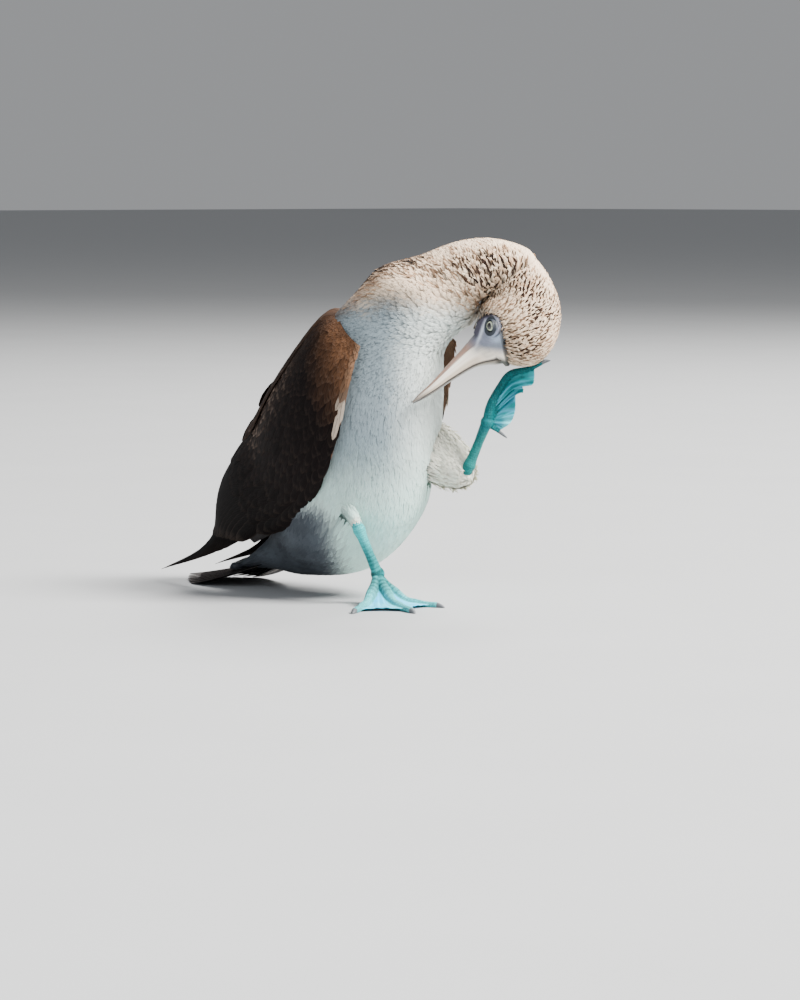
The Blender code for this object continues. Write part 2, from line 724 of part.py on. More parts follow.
def standing_toe(name):
    """Path and radii of a toe that slopes down from the joint and lies flat towards its tip."""
    direction, length, root_radius, tip_radius = STANDING_TOES[name]
    turn = math.radians(direction)
    run = np.array([0, 0.14, 0.3, 0.46, 0.62, 0.8, 1.0])
    swell = np.array([1.0, 0.95, 1.12, 0.95, 1.15, 0.95, 1.0])
    radii = (root_radius + (tip_radius - root_radius) * run) * swell
    resting = radii - SOLE_SINK
    height = resting + (JOINT_RIGHT[2] - resting[0] - 2) * np.clip(1 - run / 0.62, 0, 1) ** 1.5
    path = np.stack([length * run * math.cos(turn), length * run * math.sin(turn), height], axis=1)
    path[:, :2] += JOINT_RIGHT[:2]
    return path, radii


def raised_toe(name):
    points, root_radius, tip_radius = RAISED_TOES[name]
    path = resample(smooth(np.array([JOINT_LEFT, *(bend_point(*point) for point in points)], float), 4), 8)
    run = np.linspace(0, 1, len(path))
    return path, (root_radius + (tip_radius - root_radius) * run) * (1 + 0.06 * np.sin(run * 14))


def resample(path, count):
    """The path at this many places, evenly along its length."""
    lengths = np.concatenate([[0], np.cumsum(np.linalg.norm(np.diff(path, axis=0), axis=1))])
    wanted = np.linspace(0, lengths[-1], count)
    return np.stack([np.interp(wanted, lengths, path[:, k]) for k in range(3)], axis=1)


def web(first, second, droop, direction, reach=0.86):
    """The skin between two toes: a thin sheet that hangs by droop along direction, deepest mid-way."""
    rows, columns = 5, 4
    a, b = resample(first, 12), resample(second, 12)
    run = np.linspace(0.02, reach, rows)
    ends = np.linspace(0, 1, 12)
    a = np.stack([np.interp(run, ends, a[:, k]) for k in range(3)], axis=1)
    b = np.stack([np.interp(run, ends, b[:, k]) for k in range(3)], axis=1)
    share = np.linspace(0, 1, columns)[None, :, None]
    grid = a[:, None] * (1 - share) + b[:, None] * share
    scallop = 4 * share * (1 - share)
    pull = np.linspace(0, 1, rows)[:, None, None] ** 2
    inward = a[0] - grid[-1]
    grid = grid + scallop * pull * 0.10 * inward
    grid = grid + scallop * np.linspace(0, 1, rows)[:, None, None] * droop * np.asarray(direction, float)
    normal = unit(np.cross(np.gradient(grid, axis=0), np.gradient(grid, axis=1)))
    return plate(grid + 0.65 * normal, grid - 0.65 * normal)


def foot_pieces(toes, droop, direction):
    pieces = [tube(round_rings(path, radii, 8)) for path, radii in toes.values()]
    order = list(toes)
    for near, far in zip(order, order[1:]):
        pieces.append(web(toes[near][0], toes[far][0], droop, direction))
    return pieces


def claw(name, toe, bend, cutters):
    """A short curved horn that goes on from the toe's end."""
    path, radii = toe
    ahead = unit(path[-1] - path[-2])
    bend = unit(bend)
    run = np.linspace(0, 1, 4)[:, None]
    line = path[-1] + ahead * (GAP + CLAW_LENGTH * run) + bend * (2.6 * run**2)
    size = radii[-1] * np.array([0.78, 0.62, 0.4, 0.14])
    return fuse(name, [tube(round_rings(line, size, 6))], "claw_horn", cutters)


def make_legs(trunk_cutter, head_cutter, floor):
    right_shank = cutter("right_shank_room", [shank_piece(ANKLE_RIGHT, JOINT_RIGHT, GAP)])
    left_shank = cutter("left_shank_room", [shank_piece(ANKLE_LEFT, JOINT_LEFT, GAP)])
    make_thigh(-1, [trunk_cutter, right_shank])
    make_thigh(1, [trunk_cutter, left_shank])
    fuse("shank_right", [shank_piece(ANKLE_RIGHT, JOINT_RIGHT)], "foot_skin", [])
    fuse("shank_left", [shank_piece(ANKLE_LEFT, JOINT_LEFT)], "foot_skin", [])
    standing = {name: standing_toe(name) for name in STANDING_TOES}
    raised = {name: raised_toe(name) for name in RAISED_TOES}
    fuse("foot_right", [ball(JOINT_RIGHT, 7.2), *foot_pieces(standing, -1.5, UP)], "foot_skin", [right_shank, floor])
    hang = unit([0.75, 0.25, -0.6])
    fuse("foot_left", [ball(JOINT_LEFT, 6.6), *foot_pieces(raised, 14, hang)], "foot_skin", [left_shank, head_cutter])
    for name, toe in standing.items():
        claw(f"claw_right_{name}", toe, (0, 0, -1), [floor])
    for name, toe in raised.items():
        claw(f"claw_left_{name}", toe, (0.6, 0.2, -0.7), [head_cutter])


def block(low, high):
    """A box between two corners."""
    low, high = Vector(low), Vector(high)
    cage = bmesh.new()
    bmesh.ops.create_cube(cage, size=1.0)
    size = Matrix.Diagonal((*(high - low), 1))
    bmesh.ops.transform(cage, matrix=Matrix.Translation((low + high) / 2) @ size, verts=cage.verts)
    return taken(cage)


def main():
    clear_scene()
    for name in ("booby", "cutters"):
        bpy.context.scene.collection.children.link(bpy.data.collections.new(name))
    floor = cutter("floor_room", [block((-500, -300, -60), (300, 300, 0))])
    trunk_cutter = cutter("trunk_room", [tube(flesh_rings("vent", "neck_mid", 2, GAP))])
    head_cutter = cutter("head_room", [tube(flesh_rings("nape", "face", 4, GAP))])
    sockets = [cutter(f"eye_room_{side}", [ball(eye_centre(side), EYE["radius"] + GAP)]) for side in (1, -1)]
    sockets.append(cutter("gape_room", [gape()]))
    left_thigh = cutter("left_thigh_room", [thigh_piece(1, GAP)])
    mantle_cutter = cutter("mantle_room", [mantle_piece(GAP)])
    make_trunk()
    make_neck(head_cutter)
    make_head(sockets)
    for name, side in (("eye_left", 1), ("eye_right", -1)):
        fuse(name, [ball(eye_centre(side), EYE["radius"])], "eye_wet")
    make_bill()
    fuse("mantle", [mantle_piece()], "plumage_brown", [trunk_cutter])
    make_wing(-1, [trunk_cutter, mantle_cutter])
    make_wing(1, [trunk_cutter, mantle_cutter, left_thigh])
    make_tail(floor)
    make_legs(trunk_cutter, head_cutter, floor)


main()
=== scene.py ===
"""Dresses the still model of a blue-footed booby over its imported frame.

Every shape is a function of two parameters, worked out as whole arrays. The tables give the bird's
stations in millimetres, as its solids have them, and metres() places them over the frame.
"""

import math
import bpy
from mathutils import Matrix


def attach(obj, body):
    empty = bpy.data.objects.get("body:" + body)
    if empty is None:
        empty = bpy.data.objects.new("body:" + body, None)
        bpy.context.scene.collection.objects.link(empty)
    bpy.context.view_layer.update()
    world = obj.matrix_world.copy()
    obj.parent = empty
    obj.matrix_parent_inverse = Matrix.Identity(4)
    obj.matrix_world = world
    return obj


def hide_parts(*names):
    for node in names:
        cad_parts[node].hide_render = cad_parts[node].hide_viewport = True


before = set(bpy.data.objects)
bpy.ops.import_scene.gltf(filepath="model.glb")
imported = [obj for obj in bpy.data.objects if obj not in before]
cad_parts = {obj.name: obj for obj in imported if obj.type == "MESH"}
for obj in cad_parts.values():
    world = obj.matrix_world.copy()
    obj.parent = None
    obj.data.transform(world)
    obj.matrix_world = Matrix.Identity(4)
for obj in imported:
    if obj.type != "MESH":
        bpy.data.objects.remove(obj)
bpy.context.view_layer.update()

from types import SimpleNamespace

import bpy
import numpy as np
from bpy.props import FloatProperty, FloatVectorProperty, IntProperty, PointerProperty
from mathutils import Matrix, Vector

bl_info = {
    "name": "Blue-footed booby, still model",
    "version": (1, 0, 0),
    "blender": (4, 5, 0),
    "location": "View3D > Sidebar > Booby",
    "description": "Builds the skin, plumage, bill, eyes and feet of a booby that scratches its chin",
    "category": "Object",
}

SOLE_POINT = np.array([57.1, -29.0, 0.0])
MIDDLE = 24
BEND_TURN = math.radians(46)
REACH = np.array([math.cos(BEND_TURN), math.sin(BEND_TURN), 0.0])
ASIDE = np.array([math.sin(BEND_TURN), -math.cos(BEND_TURN), 0.0])
UP = np.array([0.0, 0.0, 1.0])

# Rump from the tail to the vent, then the trunk: ahead, up, half width, depth above, depth below
RUMP = ((-240, 20, 23, 3.2, 3.2), (-212, 27, 31, 8, 8), (-182, 37, 37, 17, 18))
TRUNK = (
    (-156, 47, 38, 33, 35),
    (-109, 76, 66, 62, 67),
    (-85, 119, 79, 84, 91),
    (-61, 170, 78.5, 92, 86),
    (-40, 222, 73, 84, 73),
    (-15, 273, 60, 64, 58),
)
# Neck and head: reach, height, aside, direction of the bend's outer side, half size in it, half aside
BEND = (
    (25.5, 300, -27, 133, 53.5, 50),
    (52, 314, -26, 115, 44.5, 43),
    (80.5, 326.5, -22, 98, 42.5, 39),
    (103.7, 334, -17, 76, 37, 35),
    (126, 336, -10, 37, 30, 33),
    (139, 313, 0, -2, 35.5, 33),
    (137.5, 291.5, 7, -28, 40.6, 33),
    (124, 274, 11, -44, 40.5, 29.5),
    (104, 261, 15, -46, 24.5, 18.5),
)
STATIONS = len(RUMP) + len(TRUNK) + len(BEND) - 1
RUMP_PITCH = 0.357
FACE = np.array([104.0, 261.0, 15.0])
BILL_TIP = np.array([27.0, 207.0, 24.0])
EYE_RADIUS = 7.6
LID_RADIUS = 8.3
EYE_TURN_AHEAD = 0.78
# Edge of the bare skin on the head's side, as reach and height
FACE_EDGE = (
    (86.0, 277.0), (90.5, 287.5), (98.0, 294.0), (106.0, 296.0), (111.8, 292.5), (114.3, 282.7),
    (116.1, 270.4), (118.8, 257.1), (121.0, 248.5), (124.6, 243.0), (100.0, 222.0), (66.0, 262.0),
)
# Bill, from the tip: distance, culmen height, chin depth, half width, mouth line
BILL = (
    (0.0, 1.2, 1.0, 1.3, 0.0),
    (9.0, 3.4, 2.8, 3.0, 0.9),
    (25.0, 5.6, 4.4, 5.0, 2.0),
    (45.0, 9.8, 4.9, 7.6, 2.4),
    (68.0, 14.8, 6.8, 10.6, 4.0),
    (80.0, 17.6, 11.2, 12.8, 7.0),
    (90.0, 20.2, 18.4, 14.8, 11.6),
    (95.0, 21.4, 21.0, 16.0, 13.2),
)
# Back between the wings, from the rump up: ahead and up of its top, direction outward, depth, half width
MANTLE = (
    (-226, 108, -0.90, 0.43, 17, 19),
    (-224, 146, -0.87, 0.50, 31, 29),
    (-206, 182, -0.80, 0.60, 39, 35),
    (-177, 218, -0.74, 0.67, 41, 39),
    (-140, 251, -0.70, 0.71, 39, 39),
    (-96, 281, -0.62, 0.78, 34, 36),
    (-46, 289, -0.45, 0.89, 22, 26),
)
# Right wing: edge along the flank, edge over the back, outward bulge, thickness
WING = (
    (0, -40, 266, -59, -4, 297, 10, 11),
    (-2, -52, 226, -92, 8, 295, 24, 13),
    (-16, -56, 172, -136, 16, 264, 31, 12),
    (-38, -55, 128, -182, 19, 219, 32, 11),
    (-80, -47, 86, -213, 18, 178, 28, 9),
    (-135, -39, 64, -238, 11, 146, 23, 7),
    (-185, -33, 46, -254, 1, 111, 14, 5),
    (-228, -27, 32, -246, -7, 74, 8, 3.5),
    (-276, -21, 18, -268, -14, 42, 5, 2.4),
    (-336, -14, 7, -338, -13, 13, 2, 1.6),
)
LEFT_FRONT = ((4, -48, 266), (-5, -52, 232), (-22, -54, 184), (-58, -55, 140), (-92, -49, 92))
# Thighs, from the ankle up into the flank: ahead, left, up, radius
THIGH_RIGHT = (
    (-10.6, -30.2, 81.6, 5.4), (-13, -30.6, 86, 6.2), (-20, -30.5, 94, 7.8), (-33, -24, 104, 12),
    (-49, -11, 117, 22), (-64, 2, 132, 31),
)
THIGH_LEFT = (
    (50.6, 67.7, 126.6, 0.5), (50, 67.8, 127.2, 4.0), (48.3, 68.2, 127.8, 8.6), (45, 69, 129, 12),
    (33, 72, 133.5, 19.5), (12, 73, 143, 27), (-10, 69, 153, 32), (-34, 60, 160, 34),
)
ANKLE_RIGHT, JOINT_RIGHT = np.array([-11.0, -30, 82]), np.array([-6.0, -6, 31])
ANKLE_LEFT, JOINT_LEFT = np.array([49.0, 68, 136]), np.array([70.0, 75, 186])
SOLE_SINK = 0.9
# Standing toes: direction in degrees, length, radius at the root and at the tip
STANDING_TOES = ((70, 40, 3.6, 2.6), (19, 68, 4.8, 3.2), (-20, 84, 5.4, 3.4), (-60, 82, 5.2, 3.3))
# Raised toes: the points passed after the joint as reach, height and aside, then the two radii
RAISED_TOES = (
    (((108, 181, -3), (115, 176, -4)), 2.9, 1.9),
    (((112, 202, -8), (121, 216, -11), (129, 226, -12), (136, 228, -13)), 4.2, 2.8),
    (((110, 204, -3), (121, 222, -3), (131, 233, 0), (141, 232, 3)), 4.6, 3.0),
    (((107, 206, 2), (117, 224, 3), (127, 236, 5), (146, 241, 6), (158, 247, 6)), 4.8, 2.4),
)
TOE_NAMES = ("first", "second", "third", "fourth")
CLAW_GAP = 0.3
CLAW_LENGTH = 9.2
FLAT = 0.02  # lowest level of the standing foot
VANE_HALF = 0.22  # half the thickness of a wing vane
VANE_RELIEF = 0.35  # how far its normals lean to both sides
BAKE_PATCH = 0.003  # a vane's width on the bake map
SKIN_DEPTHS = (1.0, 0.7, 0.5)  # how much deeper red goes into soft skin than green and blue
# Stage: the point that the lights face and the camera's place in metres, its lens and sensor in millimetres
AIM = Vector((-0.08, 0.04, 0.18))
CAMERA_PLACE = (2.5830 - 0.0571, -2.4746 + 0.0290, 0.4195)
LENS, SENSOR = 127.008, 36


def prop(kind, name, description, default, **more):
    """One setting of a property group."""
    return kind(name=name, description=description, default=default, **more)


def length_prop(name, description, default):
    return prop(FloatProperty, name, description, default, unit="LENGTH", subtype="DISTANCE", min=0.0)


def angle_prop(name, description, default):
    return prop(FloatProperty, name, description, default, subtype="ANGLE")


def colour_prop(name, description, default):
    return prop(FloatVectorProperty, name, description, default, subtype="COLOR", size=3, min=0.0, max=1.0)


class BoobySizes(bpy.types.PropertyGroup):
    head_feather: length_prop("Head feather", "Length of a feather on the head", 0.0088)
    neck_feather: length_prop("Neck feather", "Length of a feather on the neck", 0.0135)
    breast_feather: length_prop("Breast feather", "Length of a feather on the breast", 0.0190)
    belly_feather: length_prop("Belly feather", "Length of a feather on the belly", 0.0210)
    mantle_feather: length_prop("Mantle feather", "Length of a feather on the back", 0.0240)
    thigh_feather: length_prop("Thigh feather", "Length of a tuft on the thighs", 0.0150)
    coat_depth: length_prop("Coat depth", "How far the skin lies inside the trunk's coat", 0.0060)
    head_depth: length_prop("Head coat depth", "How far the skin lies inside the head's coat", 0.0034)
    web_thickness: length_prop("Web thickness", "Thickness of the skin between the toes", 0.0013)
    covert_rows: prop(IntProperty, "Covert rows", "Rows of small coverts on each wing", 30, min=4, max=40)
    tail_feathers: prop(
        IntProperty, "Tail feathers", "Feathers across the tail, an odd number", 13, min=5, max=17
    )


class BoobyColours(bpy.types.PropertyGroup):
    white: colour_prop("White plumage", "Breast, belly and thighs", (0.84, 0.88, 0.85))
    cream: colour_prop("Cream plumage", "Pale parts of the head and neck feathers", (0.95, 0.74, 0.54))
    streak: colour_prop("Streaks", "Dark centres of the head and neck feathers", (0.016, 0.008, 0.005))
    wing_warm: colour_prop("Warm brown", "Small coverts at the wing's shoulder", (0.17, 0.080, 0.040))
    wing_dark: colour_prop("Dark brown", "Large feathers of the wing", (0.0058, 0.0034, 0.0034))
    fringe: colour_prop("Pale fringe", "Worn edges of the brown feathers", (0.20, 0.145, 0.115))
    tail: colour_prop("Tail brown", "Vanes of the tail", (0.010, 0.007, 0.007))
    shaft: colour_prop("Pale shaft", "Shafts and centres of the tail feathers", (0.34, 0.30, 0.27))
    face: colour_prop("Bare face", "Skin round the eye", (0.20, 0.22, 0.29))
    bill: colour_prop("Bill side", "Cream side of the bill", (0.97, 0.88, 0.75))
    culmen: colour_prop("Culmen", "Tan stripe on top of the bill", (0.30, 0.18, 0.135))
    foot: colour_prop("Foot blue", "Standing foot", (0.0, 0.70, 0.68))
    # Foot teal is painted shade: the raised foot drawn as a shaded copy of the foot blue.
    teal: colour_prop("Foot teal", "Raised foot and deep folds", (0.0, 0.16, 0.18))
    claw: colour_prop("Claw", "Horn of the claws", (0.10, 0.11, 0.12))
    iris: colour_prop("Iris", "Pale ring of the eye", (0.52, 0.58, 0.42))


class BoobyStage(bpy.types.PropertyGroup):
    floor: colour_prop("Floor", "Pale floor of the studio", (0.40, 0.41, 0.42))
    key_power: prop(
        FloatProperty, "Key light", "Power of the large soft light", 212.0, min=0.0, subtype="POWER"
    )
    turn: angle_prop("View turn", "Camera's direction round the bird", math.radians(46))
    tilt: angle_prop("View tilt", "Camera's height above level", math.radians(5))


def metres(points):
    """Layout millimetres as metres over the frame."""
    return (np.asarray(points, float) - SOLE_POINT) * 0.001


def unit(v):
    v = np.asarray(v, float)
    return v / np.maximum(np.linalg.norm(v, axis=-1, keepdims=True), 1e-9)


def ease(low, high, value):
    """Runs smoothly from 0 at low to 1 at high: 3x^2 - 2x^3 of the share x."""
    x = np.clip((np.asarray(value, float) - low) / (high - low), 0, 1)
    return x * x * (3 - 2 * x)


def bell(value, width):
    """1 where the value is 0, falling off to both sides: e to the minus square of value over width."""
    return np.exp(-((value / width) ** 2))


def toward(tint, colour, share):
    """The tint moved towards a colour by a share."""
    return tint + (np.asarray(colour) - tint) * np.asarray(share)[..., None]


def smooth(rows, steps):
    """Curve through rows of any shape: each step weighs its four neighbours by Catmull-Rom cubics."""
    rows = np.asarray(rows, float)
    padded = np.concatenate([2 * rows[:1] - rows[1:2], rows, 2 * rows[-1:] - rows[-2:-1]])
    t = (np.arange(steps) / steps).reshape((1, -1) + (1,) * (rows.ndim - 1))
    a, b, c, d = (padded[i : len(rows) - 1 + i, None] for i in range(4))
    span = 0.5 * (2 * b + (c - a) * t + (2 * a - 5 * b + 4 * c - d) * t**2 + (3 * b - a - 3 * c + d) * t**3)
    return np.concatenate([span.reshape((-1,) + rows.shape[1:]), rows[-1:]])


def bend_point(reach, height, aside):
    """A point given in the upright plane in which the neck bends."""
    return np.multiply.outer(reach, REACH) + np.multiply.outer(height, UP) + np.multiply.outer(aside, ASIDE)


def fractal(points, size, seed, octaves=3):
    """Soft noise at points: sums of sines along random directions, each octave half as wide and as strong."""
    draw = np.random.default_rng(seed)
    total = np.zeros(np.shape(points)[:-1])
    for octave in range(octaves):
        waves = draw.normal(size=(7, 3)) * (2**octave * 2.2 / size)
        phases = draw.uniform(0, 2 * math.pi, 7)
        total += np.sin(points @ waves.T + phases).sum(axis=-1) / 4 / 2**octave
    return total / 1.75


class Sheet:
    """A surface kept as a fine grid of points and normals: a place is (u, v), each from 0 to 1.

    The normal is the cross product of the grid's two slopes, turned away from the rings' middles."""

    def __init__(self, grid, closed=True, outward=None):
        self.closed = closed
        spread = np.concatenate([grid[:, -1:], grid, grid[:, :2]], axis=1) if closed else grid
        along = np.gradient(spread, axis=0) * (len(grid) - 1)
        around = np.gradient(spread, axis=1) * (grid.shape[1] if closed else grid.shape[1] - 1)
        if closed:
            spread, along, around = spread[:, 1:-1], along[:, 1:-1], around[:, 1:-1]
        facing = unit(np.cross(along, around))
        away = grid.mean(axis=1, keepdims=True) if outward is None else spread - outward
        if np.sum(facing * (spread - away)) < 0:
            facing = -facing
        reach = [np.linalg.norm(slope, axis=-1, keepdims=True) for slope in (along, around)]
        self.table = np.concatenate([spread, facing, *reach], axis=-1)

    def read(self, u, v):
        rows, columns = self.table.shape[:2]
        u, v = np.broadcast_arrays(np.asarray(u, float), np.asarray(v, float))
        a = np.clip(u, 0, 1) * (rows - 1)
        b = (v % 1 if self.closed else np.clip(v, 0, 1)) * (columns - 1)
        i, j = np.minimum(a.astype(int), rows - 2), np.minimum(b.astype(int), columns - 2)
        f, g = (a - i)[..., None], (b - j)[..., None]
        low = self.table[i, j] * (1 - f) + self.table[i + 1, j] * f
        high = self.table[i, j + 1] * (1 - f) + self.table[i + 1, j + 1] * f
        return low * (1 - g) + high * g

    def at(self, u, v, lift=0.0):
        found = self.read(u, v)
        return found[..., :3] + np.asarray(lift)[..., None] * unit(found[..., 3:6])

    def normal(self, u, v):
        return unit(self.read(u, v)[..., 3:6])


def pairs(*columns):
    """Arrays side by side as the columns of one."""
    return np.stack(np.broadcast_arrays(*columns), axis=-1)


def places(rows, columns, low=0.0, high=1.0):
    """Places u down the rows and v round the columns of a closed sheet."""
    return np.linspace(low, high, rows)[:, None], (np.arange(columns) / columns)[None]


def ring_angles(sides):
    return np.linspace(0, 2 * math.pi, sides, endpoint=False)


def body_rings(sides=24):
    """Rings from the rump to the face: the trunk's are half ellipses across its spine, the neck's and
    head's are ellipses in a plane that turns with the bend."""
    angle = ring_angles(sides)
    upper = np.sin(angle) > 0
    rings = []
    rows = np.array(RUMP + TRUNK, float)
    slope = np.gradient(rows[len(RUMP) :, :2], axis=0)
    pitch = [RUMP_PITCH] * len(RUMP) + np.arctan2(slope[:, 1], slope[:, 0]).tolist()
    for (x, z, wide, back, belly), p in zip(rows, pitch):
        depth = np.where(upper, back, belly) * np.sin(angle)
        sideways = wide * np.cos(angle)[:, None] * np.array([0, -1.0, 0])
        raised = depth[:, None] * np.array([-math.sin(p), 0, math.cos(p)])
        rings.append(np.array([x, MIDDLE, z]) + sideways + raised)
    for reach, height, aside, outward, half_plane, half_aside in BEND:
        turned = math.radians(outward)
        outer = math.cos(turned) * REACH + math.sin(turned) * UP
        across = half_aside * np.cos(angle)[:, None] * ASIDE
        rings.append(bend_point(reach, height, aside) + across + half_plane * np.sin(angle)[:, None] * outer)
    return np.array(rings)


def body_sheet():
    """The body's sheet; where neck and breast meet, its inner side is evened out along the body, each
    point moving towards the middle of its neighbours many times over."""
    lines = smooth(body_rings(), 10).transpose(1, 0, 2)
    grid = smooth(np.concatenate([lines, lines[:1]]), 5)[:-1].transpose(1, 0, 2)
    at = np.linspace(0, STATIONS, len(grid))
    inner = -np.sin(ring_angles(grid.shape[1]))
    share = (ease(6.2, 7.6, at) * ease(10.6, 9.0, at))[:, None] * ease(-0.5, 0.3, inner)
    even = grid.copy()
    for _ in range(160):
        even[1:-1] += (even[:-2] + even[2:] - 2 * even[1:-1]) / 4 * share[1:-1, :, None]
    return Sheet(even)


def station(number):
    """Where a station of the body lies along it, from 0 at the rump to 1 at the face."""
    return number / STATIONS


def round_rings(path, radii, sides):
    """Circles of the given radii along a path, on two axes carried along it with no twist."""
    tangents = unit(np.gradient(path, axis=0))
    side = unit(np.cross(tangents[0], UP if abs(tangents[0][2]) < 0.9 else REACH))
    sides_found = []
    for tangent in tangents:
        side = unit(side - tangent * (side @ tangent))
        sides_found.append(side)
    across = np.array(sides_found)
    over = np.cross(tangents, across)
    angle = ring_angles(sides)
    radii = np.asarray(radii, float)[:, None, None]
    return path[:, None] + radii * (
        np.cos(angle)[None, :, None] * across[:, None] + np.sin(angle)[None, :, None] * over[:, None]
    )


def limb_sheet(rows):
    line = smooth(np.array(rows, float), 10)
    return Sheet(round_rings(line[:, :3], line[:, 3], 48))


def mantle_sheet():
    """The back's ridge: ellipses set down from its top line by their own depth."""
    angle = ring_angles(64)[:, None]
    rings = []
    for x, z, out_x, out_z, depth, width in MANTLE:
        out = np.array([out_x, 0, out_z])
        centre = np.array([x, MIDDLE, z]) - depth * out
        rings.append(centre + width * np.cos(angle) * np.array([0, 1.0, 0]) + depth * np.sin(angle) * out)
    return Sheet(smooth(np.array(rings), 10))


WING_OVER = 0.08  # how far the wing's grid goes past both of its edges
WING_SPAN = 1 + 2 * WING_OVER


def wing_sheet(side):
    """The folded wing: straight lines from flank to back, raised by a parabola across them."""
    table = np.array(WING, float)
    if side > 0:
        table[: len(LEFT_FRONT), :3] = LEFT_FRONT
    rows = smooth(table, 14)
    t = np.linspace(-WING_OVER, 1 + WING_OVER, 48)[None, :, None]
    flat = rows[:, None, :3] * (1 - t) + rows[:, None, 3:6] * t
    outward = unit(np.cross((rows[:, 3:6] - rows[:, :3])[:, None], np.gradient(flat, axis=0)))
    inside = np.clip(t, -WING_OVER, 1 + WING_OVER)
    droop = 7.0 * (np.clip((0.07 - t) / 0.15, 0, 1) ** 2 + np.clip((t - 0.95) / 0.13, 0, 1) ** 2)
    grid = flat + (4 * inside * (1 - inside) * rows[:, None, 6:7] - droop) * outward
    if side > 0:
        grid[..., 1] = 2 * MIDDLE - grid[..., 1]
        outward = outward * np.array([1, -1, 1])
    return Sheet(grid, closed=False, outward=outward)


def across_wing(t):
    """A place between flank and back as v of the wing's sheet."""
    return (np.asarray(t) + WING_OVER) / WING_SPAN


def on_wing(sheet, s, t, lift):
    """Points of the wing at s from the wrist to the tip and t from the flank to the back."""
    return sheet.at(s, across_wing(t), lift)


def quads(rows, columns, wrap=False):
    """Corner numbers of a grid's quads; wrap joins the last column to the first."""
    i = np.arange(rows - 1)[:, None]
    j = np.arange(columns if wrap else columns - 1)[None, :]
    a = i * columns + j
    b = i * columns + (j + 1) % columns
    return np.stack([a, b, b + columns, a + columns], axis=-1).reshape(-1, 4)


def halves(corners):
    """Each quad as two triangles."""
    return np.concatenate([corners[:, [0, 1, 2]], corners[:, [0, 2, 3]]])


def tube(rings):
    """Points and triangles of a closed solid through rings, with a fan over each end."""
    count, sides, _ = rings.shape
    points = np.concatenate([rings.reshape(-1, 3), rings[[0, -1]].mean(axis=1)])
    j = np.arange(sides)
    k = (j + 1) % sides
    last = (count - 1) * sides
    first_fan = np.stack([np.full(sides, count * sides), k, j], axis=-1)
    last_fan = np.stack([np.full(sides, count * sides + 1), last + j, last + k], axis=-1)
    return points, np.concatenate([halves(quads(count, sides, True)), first_fan, last_fan])


def tube_map(x, y):
    """Places x and y of a tube's points, with those of its two ends."""
    return np.concatenate([pairs(x, y).reshape(-1, 2), [[0.5, 0.0], [0.5, 1.0]]])


def shells(upper, lower):
    """Closed thin vanes from two stacks of grids (vane, station, across), joined round their rims."""
    count, rows, columns, _ = upper.shape
    points = np.stack([upper, lower], axis=1)
    under = rows * columns
    face = quads(rows, columns)
    rim = np.concatenate(
        [
            np.arange(columns),
            columns - 1 + columns * np.arange(1, rows),
            (rows - 1) * columns + np.arange(columns - 2, -1, -1),
            columns * np.arange(rows - 2, 0, -1),
        ]
    )
    after = np.roll(rim, -1)
    wall = np.stack([after, rim, rim + under, after + under], axis=-1)
    one = np.concatenate([face, face[:, ::-1] + under, wall])
    every = one[None] + (np.arange(count) * 2 * under)[:, None, None]
    return points.reshape(-1, 3), halves(every.reshape(-1, 4))


def prisms(rings):
    """Closed slim prisms from rings (vane, station, side), with a cap on each end."""
    count, rows, sides, _ = rings.shape
    wall = halves(quads(rows, sides, True))
    ends = np.array([[2, 1, 0], [(rows - 1) * sides, (rows - 1) * sides + 1, (rows - 1) * sides + 2]])
    one = np.concatenate([wall, ends])
    every = one[None] + (np.arange(count) * rows * sides)[:, None, None]
    return rings.reshape(-1, 3), every.reshape(-1, 3)


def new_mesh(name, points, faces):
    """A mesh from points in millimetres and triangles, turned so that the volume inside them counts as
    more than 0, by which they face outward."""
    a, b, c = (points[faces[:, k]] - points[0] for k in range(3))
    if (np.cross(a, b) * c).sum() < 0:
        faces = np.ascontiguousarray(faces[:, ::-1])
    mesh = bpy.data.meshes.new(name)
    mesh.vertices.add(len(points))
    mesh.vertices.foreach_set("co", metres(points).ravel())
    mesh.loops.add(faces.size)
    mesh.loops.foreach_set("vertex_index", faces.ravel().astype(np.int32))
    mesh.polygons.add(len(faces))
    mesh.polygons.foreach_set("loop_start", (np.arange(len(faces)) * faces.shape[1]).astype(np.int32))
    mesh.update(calc_edges=True)
    mesh.shade_smooth()
    return mesh


def read_points(mesh):
    """A mesh's points in layout millimetres."""
    found = np.empty(len(mesh.vertices) * 3)
    mesh.vertices.foreach_get("co", found)
    return found.reshape(-1, 3) * 1000 + SOLE_POINT


def corner_map(mesh):
    found = np.empty(len(mesh.loops), dtype=np.int32)
    mesh.loops.foreach_get("vertex_index", found)
    return found


def put_map(mesh, name, places):
    """A UV map given per point."""
    layer = mesh.uv_layers.new(name=name)
    layer.data.foreach_set("uv", places[corner_map(mesh)].ravel().astype(np.float32))


def put_values(mesh, name, values):
    layer = mesh.attributes.new(name, "FLOAT", "POINT")
    layer.data.foreach_set("value", np.ravel(values).astype(np.float32))


def put_tint(mesh, tint):
    """The colour of each point, its parts kept from 0 to 1."""
    layer = mesh.attributes.new("Tint", "FLOAT_COLOR", "POINT")
    filled = np.concatenate([np.clip(tint, 0, 1), np.ones(tint.shape[:-1] + (1,))], axis=-1)
    layer.data.foreach_set("color", filled.ravel().astype(np.float32))


def placed(name, data):
    """A new object in the scene."""
    obj = bpy.data.objects.new(name, data)
    bpy.context.scene.collection.objects.link(obj)
    return obj


def piece(name, mesh, finish_name, stands_for=()):
    """The finished object: linked, riding on the bird, with its finish and what it stands for."""
    obj = placed(name, mesh)
    mesh.materials.append(bpy.data.materials[finish_name])
    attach(obj, "root")
    if stands_for:
        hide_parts(*stands_for)


